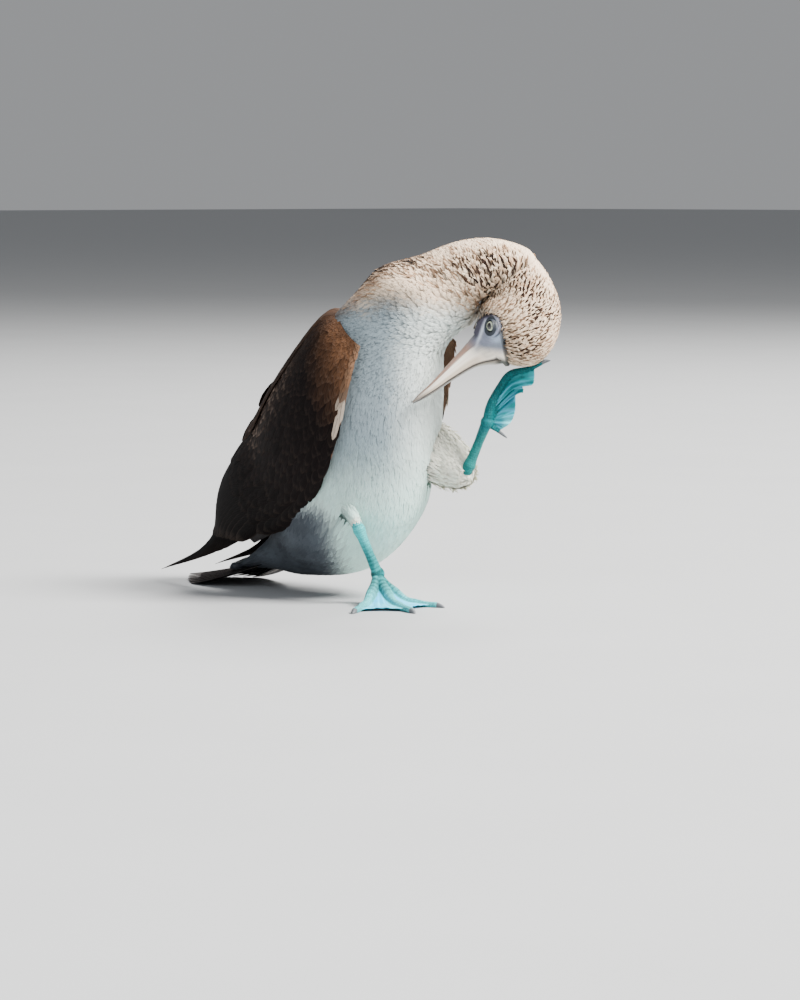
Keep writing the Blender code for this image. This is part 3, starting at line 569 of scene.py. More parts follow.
def settled(obj):
    """The object's mesh with its modifiers applied; the helper object is removed."""
    graph = bpy.context.evaluated_depsgraph_get()
    mesh = bpy.data.meshes.new_from_object(obj.evaluated_get(graph))
    bpy.data.objects.remove(obj, do_unlink=True)
    return mesh


def joined(name, parts):
    """One mesh of several closed parts, each of which begins with its points and faces."""
    starts = np.cumsum([0] + [len(part[0]) for part in parts])
    faces = np.concatenate([part[1] + start for part, start in zip(parts, starts)])
    return new_mesh(name, np.concatenate([part[0] for part in parts]), faces)


def remeshed(name, parts, voxel, rounds):
    """One closed skin over several closed parts: voxel remesh at that size, then rounds of smoothing."""
    obj = placed(name, joined(name, parts))
    join = obj.modifiers.new("join", "REMESH")
    join.mode = "VOXEL"
    join.voxel_size = voxel * 0.001
    even = obj.modifiers.new("even", "SMOOTH")
    even.factor = 0.5
    even.iterations = rounds
    return settled(obj)


GEOMETRY = "GeometryNode"


def scatter(sheet, spacing, seed, low=0.0, high=1.0):
    """Roots spread over a closed sheet, no two nearer than the spacing, and not inside the skin: their
    places u and v, their height over the skin's nearest point, and the skin's normal there."""
    skin = bpy.data.objects.get("skin")
    if skin is None:
        raise RuntimeError("The skin has to be made before the coat")
    rows, columns = 160, 120
    u, v = places(rows, columns, low, high)
    mesh = new_mesh("spread", sheet.at(u, v).reshape(-1, 3), halves(quads(rows, columns, True)))
    u, v = np.broadcast_arrays(u, v)
    put_values(mesh, "along", u)
    put_values(mesh, "turn_x", np.cos(2 * math.pi * v))
    put_values(mesh, "turn_y", np.sin(2 * math.pi * v))
    obj = placed("spread", mesh)
    tree = bpy.data.node_groups.new("Spread roots", "GeometryNodeTree")
    for way in ("INPUT", "OUTPUT"):
        tree.interface.new_socket("Geometry", in_out=way, socket_type="NodeSocketGeometry")
    start, end = node(tree, "GroupInput", family="Node"), node(tree, "GroupOutput", family="Node")
    apart = spacing * 0.001
    feeds = {"Mesh": start.outputs[0], "Distance Min": apart, "Density Max": 6.0 / apart**2, "Seed": seed}
    spread = node(tree, "DistributePointsOnFaces", feeds, GEOMETRY, distribute_method="POISSON")
    last = node(tree, "PointsToVertices", (spread.outputs["Points"],), GEOMETRY).outputs[0]
    under = node(tree, "ObjectInfo", {"Object": skin}, GEOMETRY).outputs["Geometry"]
    for name, field in (("foot", "InputPosition"), ("facing", "InputNormal")):
        feeds = {"Mesh": under, "Value": node(tree, field, (), GEOMETRY).outputs[0]}
        found = node(tree, "SampleNearestSurface", feeds, GEOMETRY, data_type="FLOAT_VECTOR").outputs["Value"]
        feeds = {"Geometry": last, "Name": name, "Value": found}
        last = node(tree, "StoreNamedAttribute", feeds, GEOMETRY, data_type="FLOAT_VECTOR").outputs[0]
    tree.links.new(last, end.inputs[0])
    obj.modifiers.new("spread", "NODES").node_group = tree
    found = settled(obj)
    count = len(found.vertices)
    values = {}
    for name, width in (("along", 1), ("turn_x", 1), ("turn_y", 1), ("foot", 3), ("facing", 3)):
        values[name] = np.empty(count * width, dtype=np.float32)
        found.attributes[name].data.foreach_get("value" if width == 1 else "vector", values[name])
    points = np.empty(count * 3)
    found.vertices.foreach_get("co", points)
    bpy.data.node_groups.remove(tree)
    bpy.data.meshes.remove(found)
    facing = unit(values["facing"].reshape(-1, 3).astype(float))
    height = 1000 * ((points.reshape(-1, 3) - values["foot"].reshape(-1, 3)) * facing).sum(-1)
    turn = np.arctan2(values["turn_y"], values["turn_x"]) / (2 * math.pi) % 1
    along = values["along"].astype(float)
    kept = (height > 0.9) & ((sheet.normal(along, turn) * facing).sum(-1) > -0.1)
    return Roots(along[kept], turn[kept].astype(float), height[kept], facing[kept])


class Roots:
    """Where feathers grow on a sheet: u and v, the height over the skin and the skin's normal."""

    def __init__(self, *parts):
        self.parts = parts
        self.u, self.v, self.height, self.facing = parts

    def only(self, kept):
        return Roots(*(part[kept] for part in self.parts))

    def together(self, more):
        return Roots(*(np.concatenate(pair) for pair in zip(self.parts, more.parts)))

    def __len__(self):
        return len(self.u)


def edge_distance(points):
    """Signed distance in the bend's plane from the edge of the bare face, less than 0 on the bare side."""
    flat = pairs(points @ REACH, points[..., 2])
    corners = np.array(FACE_EDGE)
    after = np.roll(corners, -1, axis=0)
    side = after - corners
    offset = flat[..., None, :] - corners
    share = np.clip((offset * side).sum(-1) / (side**2).sum(-1), 0, 1)
    away = np.linalg.norm(offset - share[..., None] * side, axis=-1).min(axis=-1)
    y, x = flat[..., None, 1], flat[..., None, 0]
    crosses = (corners[:, 1] > y) != (after[:, 1] > y)
    rise = np.where(side[:, 1] == 0, 1e-9, side[:, 1])
    left_of = x < corners[:, 0] + side[:, 0] * (y - corners[:, 1]) / rise
    inside = (crosses & left_of).sum(axis=-1) % 2 == 1
    brow = 7.5 - np.abs(points @ ASIDE - 13 - 0.10 * (104 - flat[..., 0]))
    on_brow = (flat[..., 1] > 262 + 0.75 * (flat[..., 0] - 88)) & (brow > 0)
    return np.where(inside & ~on_brow, -away, np.where(on_brow & inside, brow, away))


def hidden_under(points, sheets):
    """True for points that lie under one of the sheets, away from its edges."""
    hidden = np.zeros(len(points), dtype=bool)
    for sheet in sheets:
        u, v = np.meshgrid(np.linspace(0.02, 0.98, 40), np.linspace(0.04, 0.96, 20), indexing="ij")
        spots, facing = sheet.at(u, v).reshape(-1, 3), sheet.normal(u, v).reshape(-1, 3)
        rim = ((u < 0.04) | (u > 0.78) | (v < 0.13) | (v > 0.92)).ravel()
        apart = np.linalg.norm(points[:, None] - spots[None], axis=-1)
        near = apart.argmin(axis=1)
        below = ((points - spots[near]) * facing[near]).sum(-1)
        hidden |= (below < 1.0) & (apart[np.arange(len(points)), near] < 34) & ~rim[near]
    return hidden


def body_colour(points, colours):
    """The markings that skin and coat share: cream head, brown band on the nape, white trunk, grey flank that is
    partly painted shade; over them painted shade on the side away from the light and a painted turquoise
    reflection low on the belly.
    """
    reach, height = points @ REACH, points[..., 2]
    white, cream = colours.white, colours.cream
    on_neck = np.maximum(ease(290, 316, height + 0.10 * reach), ease(92, 108, reach) * ease(225, 240, height))
    tint = toward(white, cream, on_neck)
    nape = ease(-17, -4, 0.77 * (height - 292) - 0.64 * (reach + 55))
    nape = nape * ease(90, 20, reach) * ease(270, 288, height)
    tint = toward(tint, (0.36, 0.235, 0.18), nape * np.clip(0.55 + 0.35 * fractal(points, 9, 17), 0, 0.9))
    # Grey flank under the wing: partly greyish feathers, partly painted shade under the wing.
    flank = ease(-30, -68, reach + 0.25 * (height - 75)) * ease(132, 96, height)
    streaky = 0.95 + 0.16 * fractal(points * np.array([0.35, 1.0, 1.0]), 16, 3)
    tint = toward(tint, (0.118, 0.120, 0.132), np.clip(0.95 * flank * streaky, 0, 1))
    # Painted shade: the breast's and neck's side away from the light, and the flank, are darkened.
    painted_shade = ease(56, 4, reach - 0.12 * (height - 250)) * ease(330, 300, height)
    painted_shade = painted_shade * np.maximum(ease(80, 190, height), flank)
    tint = tint * (1 - painted_shade[..., None] * np.array([0.74, 0.70, 0.65]))
    # Painted reflection: a turquoise tint on the white, strongest low on the belly.
    painted_reflection = (1 - flank) * (1 - on_neck) * (0.15 + 0.85 * ease(215, 90, height))
    return tint * (1 - painted_reflection[..., None] * np.array([0.26, 0.0, 0.06]))


def streaking(u, v, points):
    """How dark the streaks are: they follow the nape's line, which winds from the bend's outer side to
    its inner one, and cover the head; the throat's line, opposite the nape, stays pale."""
    stations = np.array([8.0, 10, 11, 12, 13, 14, 15, 17]) / STATIONS
    nape = np.interp(u, stations, [0.27, 0.22, 0.13, 0.04, -0.05, -0.13, -0.20, -0.25])
    off = np.abs((v - nape + 0.5) % 1 - 0.5)
    head = ease(station(12.4), station(13.8), u)
    neck = ease(station(7.3), station(8.6), u)
    neck = neck * ease(0.30, 0.10, off + 0.10 * ease(station(11), station(9), u))
    rough = 0.85 + 0.45 * fractal(points, 26, 5)
    # Painted highlight: the streaks thin out along the bend's outer side, most on the neck, where the light
    # falls.
    painted_highlight = 0.85 * ease(station(9.3), station(10.8), u) - 0.65 * ease(station(13.1), station(14.4), u)
    rough = rough * (1 - painted_highlight * ease(0.20, 0.08, np.abs(v - 0.25)))
    return np.clip(np.maximum(neck, head * (1 - 0.55 * ease(0.34, 0.5, off))) * rough, 0, 1)


def lay(sheet, u, v, length, run, swing, lift):
    """Centre lines of feathers: from each root back along the sheet, turned by swing, lift over it."""
    metric = sheet.read(u, v)[:, 6:8]
    back = (length * np.cos(swing) / np.maximum(metric[:, 0], 40))[:, None] * run
    aside = (length * np.sin(swing) / np.maximum(metric[:, 1], 20))[:, None] * run
    places = u[:, None] - back, v[:, None] + aside
    return sheet.at(*places, lift), sheet.normal(*places)


def fan_out(u, v):
    """How far the feathers turn off the neck's line: on both sides they fan out from the fold at the
    bend's inner side towards its outer one, most on the neck and less towards the bill."""
    turn = np.interp(u * STATIONS, [7.6, 9, 10.5, 12, 13.5, 15, 17], [0, 0.8, 1.15, 1.1, 0.9, 0.7, 0.3])
    return turn * np.clip(1.7 * np.cos(2 * math.pi * v), -1, 1)


RUN = np.array([0.0, 0.42, 0.78, 1.0])
OUTLINE = np.array([0.55, 1.0, 0.82, 0.14])


def body_vanes(sheet, roots, length, width, draw, root, tip, swing=0.16, ridge=0.06, loose=0.0, relief=0.3,
               turn=0.0, rough=0.35):
    """Slim three-sided vanes: a ridge over two edges, rising from root to tip height, a few of them
    loose. Where the sheet folds, they settle to the coat's usual height over the skin. Their normals
    are the skin's, turned as the sheet's turn along the vane, leaning to both sides by the relief."""
    count = len(roots)
    size = length * draw.uniform(0.8, 1.2, count)
    free = (draw.random(count) < 0.12) * loose * draw.random(count)
    rise = tip + rough * draw.uniform(-1, 1, count) + free
    root = np.reshape(root, (-1, 1)) * np.ones((count, 1))
    settle = np.clip(roots.height[:, None] - np.median(roots.height), -2.5, 2.5)
    lift = root + (rise[:, None] - root) * RUN - settle
    line, facing = lay(sheet, roots.u, roots.v, size, RUN, draw.normal(0, swing, count) + turn, lift)
    along = unit(np.gradient(line, axis=1))
    relief = np.reshape(relief, (-1, 1, 1))
    tilt = draw.normal(0, 1, count)[:, None, None] * (0.02 + 0.25 * relief)
    facing = unit(facing + tilt * np.cross(facing, along))
    across = unit(np.cross(facing, along))
    half = (width * draw.uniform(0.85, 1.15, count))[:, None] * OUTLINE / 2
    top = line + facing * (ridge * np.reshape(width, (-1, 1)) * OUTLINE)[..., None]
    right, left = line + across * half[..., None], line - across * half[..., None]
    soft = unit(roots.facing[:, None] + facing - facing[:, :1])
    lean = relief * across
    return np.stack([right, top, left], axis=2), unit(np.stack([soft + lean, soft, soft - lean], axis=2))


def put_normals(mesh, normals):
    """Soft normals at the corners, turned over on the faces that look the other way."""
    soft = normals.reshape(-1, 3)[corner_map(mesh)]
    flat = np.empty(len(mesh.polygons) * 3, dtype=np.float32)
    mesh.polygons.foreach_get("normal", flat)
    agree = (soft * np.repeat(flat.reshape(-1, 3), len(soft) // len(mesh.polygons), axis=0)).sum(-1)
    mesh.normals_split_custom_set(np.where(agree[:, None] < 0, -soft, soft).astype(np.float32))


def bake_map(u, v, x, y):
    """Bake places: each vane's patch lies where its root lies on the unrolled skin."""
    seat = pairs(0.01 + 0.977 * v, 0.01 + 0.977 * u)
    patch = pairs(x, y) * BAKE_PATCH
    return seat.reshape(seat.shape[:1] + (1,) * (patch.ndim - 2) + (2,)) + patch


def spread_seats(u, v):
    """Roots' places on the unrolled skin, stretched so that the piece fills its map."""
    low_u, high_u, low_v, high_v = u.min(), u.max(), v.min(), v.max()
    return (u - low_u) / max(high_u - low_u, 1e-6), (v - low_v) / max(high_v - low_v, 1e-6)


def vane_parts(points, faces, normals, x, y, roots, tint, mark):
    """What each point of a group of vanes carries: its normal, its two maps, its tint and its mark."""
    each = len(points) // len(roots)
    plan = pairs(x, y).reshape(-1, 2)
    bake = bake_map(roots[:, 0], roots[:, 1], x, y).reshape(-1, 2)
    tint, mark = np.repeat(tint, each, axis=0), np.repeat(mark, each)
    return points, faces, normals.reshape(-1, 3), plan, bake, tint, mark


def dressed(name, groups, finish_name, stands_for=()):
    """One piece from groups of vanes, as vane_parts() gives them."""
    mesh = joined(name, groups)
    normals, plan, bake, tint, mark = (np.concatenate([group[k] for group in groups]) for k in range(2, 7))
    put_normals(mesh, normals)
    put_map(mesh, "Vane", plan)
    put_map(mesh, "OFBake", bake)
    put_tint(mesh, tint)
    put_values(mesh, "Mark", np.clip(mark, 0, 1))
    piece(name, mesh, finish_name, stands_for)


def coat(name, vanes, roots, tint, streak, finish_name, slot):
    """One piece of coat from three-sided vanes, with its markings and its two maps."""
    rings, normals = vanes
    count, rows = rings.shape[:2]
    points, faces = prisms(rings)
    x = np.broadcast_to(np.array([1.0, 0.5, 0.0])[None, None], (count, rows, 3))
    y = np.broadcast_to(RUN[None, :, None], (count, rows, 3))
    seats = pairs(*spread_seats(roots.u, roots.v))
    dressed(name, [vane_parts(points, faces, normals, x, y, seats, tint, streak)], finish_name)


def node(tree, kind, feeds=(), family="ShaderNode", **settings):
    """Adds a node, sets its properties, and feeds its inputs with sockets or plain values; a plain
    colour is given by three parts and is opaque."""
    made = tree.nodes.new(family + kind)
    for key, value in settings.items():
        setattr(made, key, value)
    for place, feed in feeds.items() if isinstance(feeds, dict) else enumerate(feeds):
        socket = made.inputs[place]
        if isinstance(feed, bpy.types.NodeSocket):
            tree.links.new(feed, socket)
        else:
            socket.default_value = (*feed, 1.0) if socket.type == "RGBA" else feed
    return made


def tree_of(*feeds):
    """The node tree of the first socket among the feeds."""
    return next(feed.id_data for feed in feeds if isinstance(feed, bpy.types.NodeSocket))


def maths(operation, *feeds):
    return node(tree_of(*feeds), "Math", feeds, operation=operation).outputs[0]


def times(*feeds):
    return maths("MULTIPLY", *feeds)


def times_plus(*feeds):
    """The first feed times the second, plus the third."""
    return maths("MULTIPLY_ADD", *feeds)


def plus(*feeds):
    return maths("ADD", *feeds)


def minus(*feeds):
    return maths("SUBTRACT", *feeds)


def blend_colours(share, first, second, mode="MIX"):
    """A colour between two others, by share."""
    tree, feeds = tree_of(share, first, second), {0: share, 6: first, 7: second}
    return node(tree, "Mix", feeds, data_type="RGBA", blend_type=mode).outputs[2]


def shaded(colour, factor):
    """The colour made lighter or darker by a factor."""
    grey = node(tree_of(colour), "CombineColor", [factor] * 3).outputs[0]
    return blend_colours(1.0, colour, grey, "MULTIPLY")


def noise(place, scale, detail, distortion=0.0):
    feeds = {"Vector": place, "Scale": scale, "Detail": detail, "Distortion": distortion}
    return node(tree_of(place), "TexNoise", feeds).outputs["Fac"]


def own_place(tree):
    """The object's own coordinates."""
    return node(tree, "TexCoord").outputs["Object"]


def own_value(tree, name):
    return node(tree, "Attribute", attribute_name=name).outputs["Fac"]


def own_map(tree, name):
    return node(tree, "UVMap", uv_map=name).outputs[0]


def place_and_tint(tree):
    return own_place(tree), node(tree, "Attribute", attribute_name="Tint").outputs["Color"]


def soft_step(value, low, high):
    """0 below low and 1 above high, or the other way where low is the larger."""
    feeds = {0: value, 1: low, 2: high}
    return node(tree_of(value), "MapRange", feeds, interpolation_type="SMOOTHSTEP").outputs[0]


def new_group(name, inputs, outputs):
    """A shader node group; returned with its input sockets and its output node. An input without a
    default is a vector, one with four numbers a colour, any other a value."""
    found = bpy.data.node_groups.get(name)
    if found:
        bpy.data.node_groups.remove(found)
    tree = bpy.data.node_groups.new(name, "ShaderNodeTree")
    for label, default in inputs.items():
        kind = "Vector" if default is None else "Color" if isinstance(default, tuple) else "Float"
        socket = tree.interface.new_socket(label, in_out="INPUT", socket_type="NodeSocket" + kind)
        if default is not None:
            socket.default_value = default
    for label, kind in outputs.items():
        tree.interface.new_socket(label, in_out="OUTPUT", socket_type="NodeSocket" + kind)
    start, end = node(tree, "GroupInput", family="Node"), node(tree, "GroupOutput", family="Node")
    return tree, start.outputs, end


def vane_group():
    """Markings on one vane. Across it x runs from 0 to 1 and along it y does: the dash is where x is
    near the middle and y between its ends, the fringe is where either comes near the rim, the shaft is
    a thin line, and barbs are slanted waves of x and y that raise the surface. Towards its root the vane is
    painted darker, as shade from the feathers over it; Depth sets how much."""
    tree, given, end = new_group(
        "Vane markings",
        {
            "Vane": None, "Tint": (0.8, 0.8, 0.8, 1),
            "Dash": (0.1, 0.05, 0.03, 1), "Dash Amount": 0.0, "Dash Width": 0.2,
            "Fringe": (0.5, 0.4, 0.3, 1), "Fringe Amount": 0.0,
            "Shaft": (0.5, 0.5, 0.5, 1), "Shaft Amount": 0.0, "Shaft Width": 0.05,
            "Barbs": 60.0, "Depth": 1.0,
        },
        {"Colour": "Color", "Height": "Float"},
    )
    split = node(tree, "SeparateXYZ", (given["Vane"],)).outputs
    off_middle = maths("ABSOLUTE", minus(split[0], 0.5))
    wobble = noise(given["Vane"], 9.0, 2.0)
    ragged = times_plus(wobble, 0.16, minus(off_middle, 0.08))
    narrow = times(given["Dash Width"], minus(1.25, split[1]))
    inside = minus(1.0, soft_step(minus(ragged, narrow), -0.03, 0.06))
    ends = times(soft_step(split[1], 0.30, 0.50), soft_step(split[1], 0.97, 0.80))
    dash = times(times(inside, ends), given["Dash Amount"])
    side_rim = times(soft_step(ragged, 0.38, 0.48), soft_step(split[1], 0.35, 0.95))
    rim = maths("MAXIMUM", side_rim, soft_step(split[1], 0.84, 0.95))
    fringe = times(rim, given["Fringe Amount"])
    line = minus(off_middle, times(given["Shaft Width"], 1.0))
    shaft = minus(1.0, soft_step(line, -0.01, 0.02))
    slant = minus(split[1], times(off_middle, 0.5))
    barb = maths("SINE", times(slant, given["Barbs"]))
    colour = blend_colours(fringe, given["Tint"], given["Fringe"])
    colour = blend_colours(dash, colour, given["Dash"])
    colour = blend_colours(times(shaft, given["Shaft Amount"]), colour, given["Shaft"])
    shade = times_plus(barb, 0.05, 0.97)
    # Painted shade: the vane darkens towards its root, where the feathers over it shade it; more with the dash,
    # scaled by Depth.
    deep = times(times_plus(given["Dash Amount"], 1.6, 0.14), given["Depth"])
    root = times(soft_step(split[1], 0.95, 0.15), deep)
    shade = times(shade, minus(1.0, root))
    tree.links.new(shaded(colour, shade), end.inputs["Colour"])
    tree.links.new(times_plus(barb, 0.3, shaft), end.inputs["Height"])


def grain_group():
    """Fine grain of skin and horn: a broad and a fine noise and small round cells, as shade and height."""
    tree, given, end = new_group(
        "Skin and horn grain",
        {"Vector": None, "Size": 400.0, "Cells": 900.0, "Depth": 0.5},
        {"Shade": "Float", "Height": "Float", "Cloud": "Float"},
    )
    cloud = noise(given["Vector"], 90.0, 4.0)
    fine = noise(given["Vector"], given["Size"], 3.0)
    cells = node(tree, "TexVoronoi", {"Vector": given["Vector"], "Scale": given["Cells"]}).outputs["Distance"]
    height = plus(times(cells, given["Depth"]), times(fine, 0.5))
    shade = plus(times(fine, 0.6), times(cloud, 0.4))
    tree.links.new(shade, end.inputs["Shade"])
    tree.links.new(height, end.inputs["Height"])
    tree.links.new(cloud, end.inputs["Cloud"])


def use_group(tree, name, feeds):
    return node(tree, "Group", feeds, node_tree=bpy.data.node_groups[name]).outputs


def grained(place, size, cells, depth=0.5):
    feeds = {"Vector": place, "Size": size, "Cells": cells, "Depth": depth}
    return use_group(tree_of(place), "Skin and horn grain", feeds)


def new_finish(name, roughness, coat=0.0, soft=0.0, scale=0.001, gloss=0.5):
    """The tree and the shader of a new material; plain values are set on the shader itself."""
    made = bpy.data.materials.new(name)
    made.use_nodes = True
    shader = made.node_tree.nodes["Principled BSDF"]
    values = {"Roughness": roughness, "Specular IOR Level": gloss}
    values.update({"Coat Weight": coat, "Coat Roughness": 0.08})
    if soft:
        values.update({"Subsurface Weight": soft, "Subsurface Scale": scale})
        values["Subsurface Radius"] = SKIN_DEPTHS
    for key, value in values.items():
        shader.inputs[key].default_value = value
    return made.node_tree, shader


def paint(shader, colour, height, distance):
    """Feeds the shader its colour, and its normal from a height."""
    tree = tree_of(colour)
    tree.links.new(colour, shader.inputs["Base Color"])
    bump = node(tree, "Bump", {"Strength": 1.0, "Distance": distance, "Height": height})
    tree.links.new(bump.outputs[0], shader.inputs["Normal"])


def plumage_finish(name, barbs, bump, values, roughness=0.85, mark="Dash Amount", gloss=0.2):
    """Feathers: the vane's own map feeds the shared markings; the vertex tint is the ground colour."""
    tree, shader = new_finish(name, roughness, gloss=gloss)
    place, tint = place_and_tint(tree)
    drift = noise(place, 60.0, 3.0)
    ground = shaded(tint, times_plus(drift, 0.28, 0.86))
    feeds = {"Vane": own_map(tree, "Vane"), "Tint": ground, "Barbs": barbs, mark: own_value(tree, "Mark")}
    marked = use_group(tree, "Vane markings", {**feeds, **values})
    paint(shader, marked["Colour"], marked["Height"], bump)


class BoobyStep:
    """What the steps share: they show in the search and can be undone."""

    bl_options = {"REGISTER", "UNDO"}

    def settings(self, context):
        """The sizes, and the colours as arrays."""
        colours = context.scene.booby_colours
        arrays = {key: np.array(getattr(colours, key)) for key in colours.__annotations__}
        return context.scene.booby_sizes, SimpleNamespace(**arrays)


class BOOBY_OT_finishes(BoobyStep, bpy.types.Operator):
    """Builds the shared node groups and every finish of the bird."""

    bl_idname = "booby.finishes"
    bl_label = "Finishes"

    def execute(self, context):
        _, colours = self.settings(context)
        vane_group()
        grain_group()
        # Depth sets the painted shade towards each vane's root.
        dashes = {"Dash": colours.streak, "Dash Width": 0.26, "Depth": 0.9}
        plumage_finish("Streaked plumage", 40.0, 0.0002, dashes)
        # Depth sets the painted shade towards each vane's root.
        dashes = {"Dash": (0.16, 0.155, 0.16), "Dash Width": 0.3, "Depth": 0.4}
        plumage_finish("White plumage", 34.0, 0.00005, dashes)
        shaft = {"Shaft": (0.003, 0.002, 0.002), "Shaft Amount": 0.7, "Shaft Width": 0.03}
        worn = {"Fringe": colours.fringe, **shaft}
        plumage_finish("Brown plumage", 90.0, 0.0002, worn, roughness=0.7, mark="Fringe Amount", gloss=0.07)
        shaft = {"Shaft": colours.shaft, "Shaft Amount": 0.9, "Shaft Width": 0.07}
        worn = {"Fringe": (0.022, 0.017, 0.015), **shaft}
        plumage_finish("Tail plumage", 120.0, 0.0002, worn, roughness=0.6, mark="Fringe Amount", gloss=0.12)
        self.skin_finish()
        self.face_finish()
        self.bill_finish(colours)
        self.foot_finish()
        self.claw_finish(colours)
        self.eye_finish(colours)
        return {"FINISHED"}

    def skin_finish(self):
        """Skin under the coat: the shared tint, mottled by the grain."""
        tree, shader = new_finish("Skin under the coat", 0.8)
        place, tint = place_and_tint(tree)
        grain = grained(place, 260.0, 340.0)
        shade = times_plus(grain["Shade"], 0.5, 0.35)
        paint(shader, shaded(tint, shade), grain["Height"], 0.0006)

    def face_finish(self):
        """Bare face: grey-blue skin with painted shade in the folds and at the feathers' edge, darker round the
        lids, with pores.
        """
        tree, shader = new_finish("Bare face", 0.48, soft=0.12)
        place, tint = place_and_tint(tree)
        grain = grained(place, 900.0, 1500.0, 0.8)
        shade = times_plus(grain["Shade"], 0.7, 0.65)
        tree.links.new(times_plus(grain["Cloud"], 0.25, 0.34), shader.inputs["Roughness"])
        paint(shader, shaded(tint, shade), grain["Height"], 0.00035)

    def bill_finish(self, colours):
        """Bill: x of its map runs round it and y along it. The culmen's stripe is tan with a painted highlight on
        its ridge, the side cream with painted shade in the groove, the cutting edge dark as the mouth line with
        painted shade under it, with fine streaks stretched along the horn; towards the face it takes the face's
        tint, with its painted shade, by the Mark value."""
        tree, shader = new_finish("Bill horn", 0.36, coat=0.15, soft=0.08)
        plan = own_map(tree, "Horn")
        split = node(tree, "SeparateXYZ", (plan,)).outputs
        place, tint = place_and_tint(tree)
        base = own_value(tree, "Mark")
        stretched = node(tree, "Mapping", {0: plan, 3: (44.0, 2.4, 1.0)}).outputs[0]
        streaks = noise(stretched, 1.0, 5.0)
        grain = grained(place, 700.0, 1200.0, 0.2)
        off_ridge = maths("ABSOLUTE", minus(split[0], 0.5))
        ragged = times_plus(streaks, 0.12, minus(off_ridge, 0.06))
        on_top = minus(1.0, soft_step(ragged, 0.20, 0.27))
        colour = blend_colours(on_top, colours.bill, colours.culmen)
        # Painted shade: a dark line in the groove beside the culmen.
        groove_shade = maths("ABSOLUTE", minus(off_ridge, 0.215))
        groove_shade = minus(1.0, soft_step(groove_shade, 0.002, 0.012))
        colour = blend_colours(times(groove_shade, 0.55), colour, (0.10, 0.06, 0.05))
        # Painted highlight: a lighter line along the culmen's ridge.
        ridge = soft_step(off_ridge, 0.05, 0.0)
        colour = blend_colours(times(ridge, 0.5), colour, (0.55, 0.42, 0.34))
        tan = soft_step(ragged, 0.36, 0.44)
        colour = blend_colours(times(tan, 0.55), colour, (0.38, 0.27, 0.15))
        tip = soft_step(split[1], 0.36, 0.0)
        colour = blend_colours(times(tip, 0.9), colour, (0.11, 0.085, 0.07))
        colour = blend_colours(base, colour, tint)
        # The cutting edge is dark: the mouth line, with painted shade under it.
        edge = soft_step(off_ridge, 0.475, 0.497)
        colour = blend_colours(times(edge, 0.92), colour, (0.012, 0.010, 0.009))
        colour = shaded(colour, times_plus(streaks, 0.8, 0.66))
        tree.links.new(times_plus(streaks, 0.3, 0.22), shader.inputs["Roughness"])
        paint(shader, colour, times_plus(streaks, 1.4, grain["Height"]), 0.0003)

    def foot_finish(self):
        """Feet: the vertex tint, small scales on the toes and pleats along the webs."""
        tree, shader = new_finish("Foot skin", 0.45, soft=0.10, scale=0.0015, gloss=0.18)
        place, tint = place_and_tint(tree)
        web = own_value(tree, "Web")
        fan = own_map(tree, "Fan")
        rays = noise(fan, 1.0, 4.0, 0.3)
        scales = node(tree, "TexVoronoi", {"Vector": place, "Scale": 560.0}, feature="DISTANCE_TO_EDGE")
        scaly = soft_step(scales.outputs[0], 0.0, 0.16)
        on_toe = minus(1.0, web)
        height = plus(times(scaly, on_toe), times(rays, web))
        length = times(node(tree, "SeparateXYZ", (fan,)).outputs[1], 87.0)
        wander = times_plus(rays, 3.0, length)
        scute = soft_step(maths("SINE", wander), 0.72, 0.98)
        height = minus(height, times(scute, on_toe))
        gaps = plus(minus(1.0, scaly), times(scute, 0.8))
        lines = times_plus(times(gaps, on_toe), -0.28, 1.0)
        shade = times(lines, times_plus(rays, 0.9, 0.55))
        paint(shader, shaded(tint, shade), height, 0.0006)

    def claw_finish(self, colours):
        """Claws: dark horn, streaked along, paler where it is worn."""
        tree, shader = new_finish("Claw horn", 0.40, gloss=0.35)
        place = own_place(tree)
        grain = grained(place, 1300.0, 1800.0, 0.2)
        colour = blend_colours(grain["Cloud"], 0.5 * colours.claw, 1.7 * colours.claw)
        paint(shader, colour, grain["Height"], 0.0002)

    def eye_finish(self, colours):
        """Eye: y of its map is the angle from the gaze. Black pupil, pale iris with fibres, dark rim."""
        tree, shader = new_finish("Wet eye", 0.12, coat=1.0)
        shader.inputs["Coat Roughness"].default_value = 0.02
        gaze = own_map(tree, "Gaze")
        split = node(tree, "SeparateXYZ", (gaze,)).outputs
        fibres = node(tree, "Mapping", {0: gaze, 3: (60.0, 4.0, 1.0)}).outputs[0]
        wisps = noise(fibres, 1.0, 3.0)
        ring = blend_colours(wisps, 0.45 * colours.iris, np.minimum(1.3 * colours.iris, 1.0))
        pupil = soft_step(split[1], 0.138, 0.147)
        colour = blend_colours(pupil, (0.004, 0.004, 0.005), ring)
        rim = soft_step(split[1], 0.205, 0.222)
        colour = blend_colours(rim, colour, (0.012, 0.014, 0.022))
        paint(shader, colour, wisps, 0.0001)


def eye_axis(side):
    """Centre and gaze of the eye: 1 is the bird's left, which is the far side of the bend."""
    centre = bend_point(108.2, 284.8, 13 + side * (17.2 if side > 0 else 16.4))
    return centre, unit(side * ASIDE - EYE_TURN_AHEAD * REACH)


def coat_depth(u, sizes):
    """How far the skin lies inside the coat, in millimetres: less from the neck to the head."""
    thinner = ease(station(10), station(14), u)
    return 1000 * (sizes.coat_depth + (sizes.head_depth - sizes.coat_depth) * thinner)


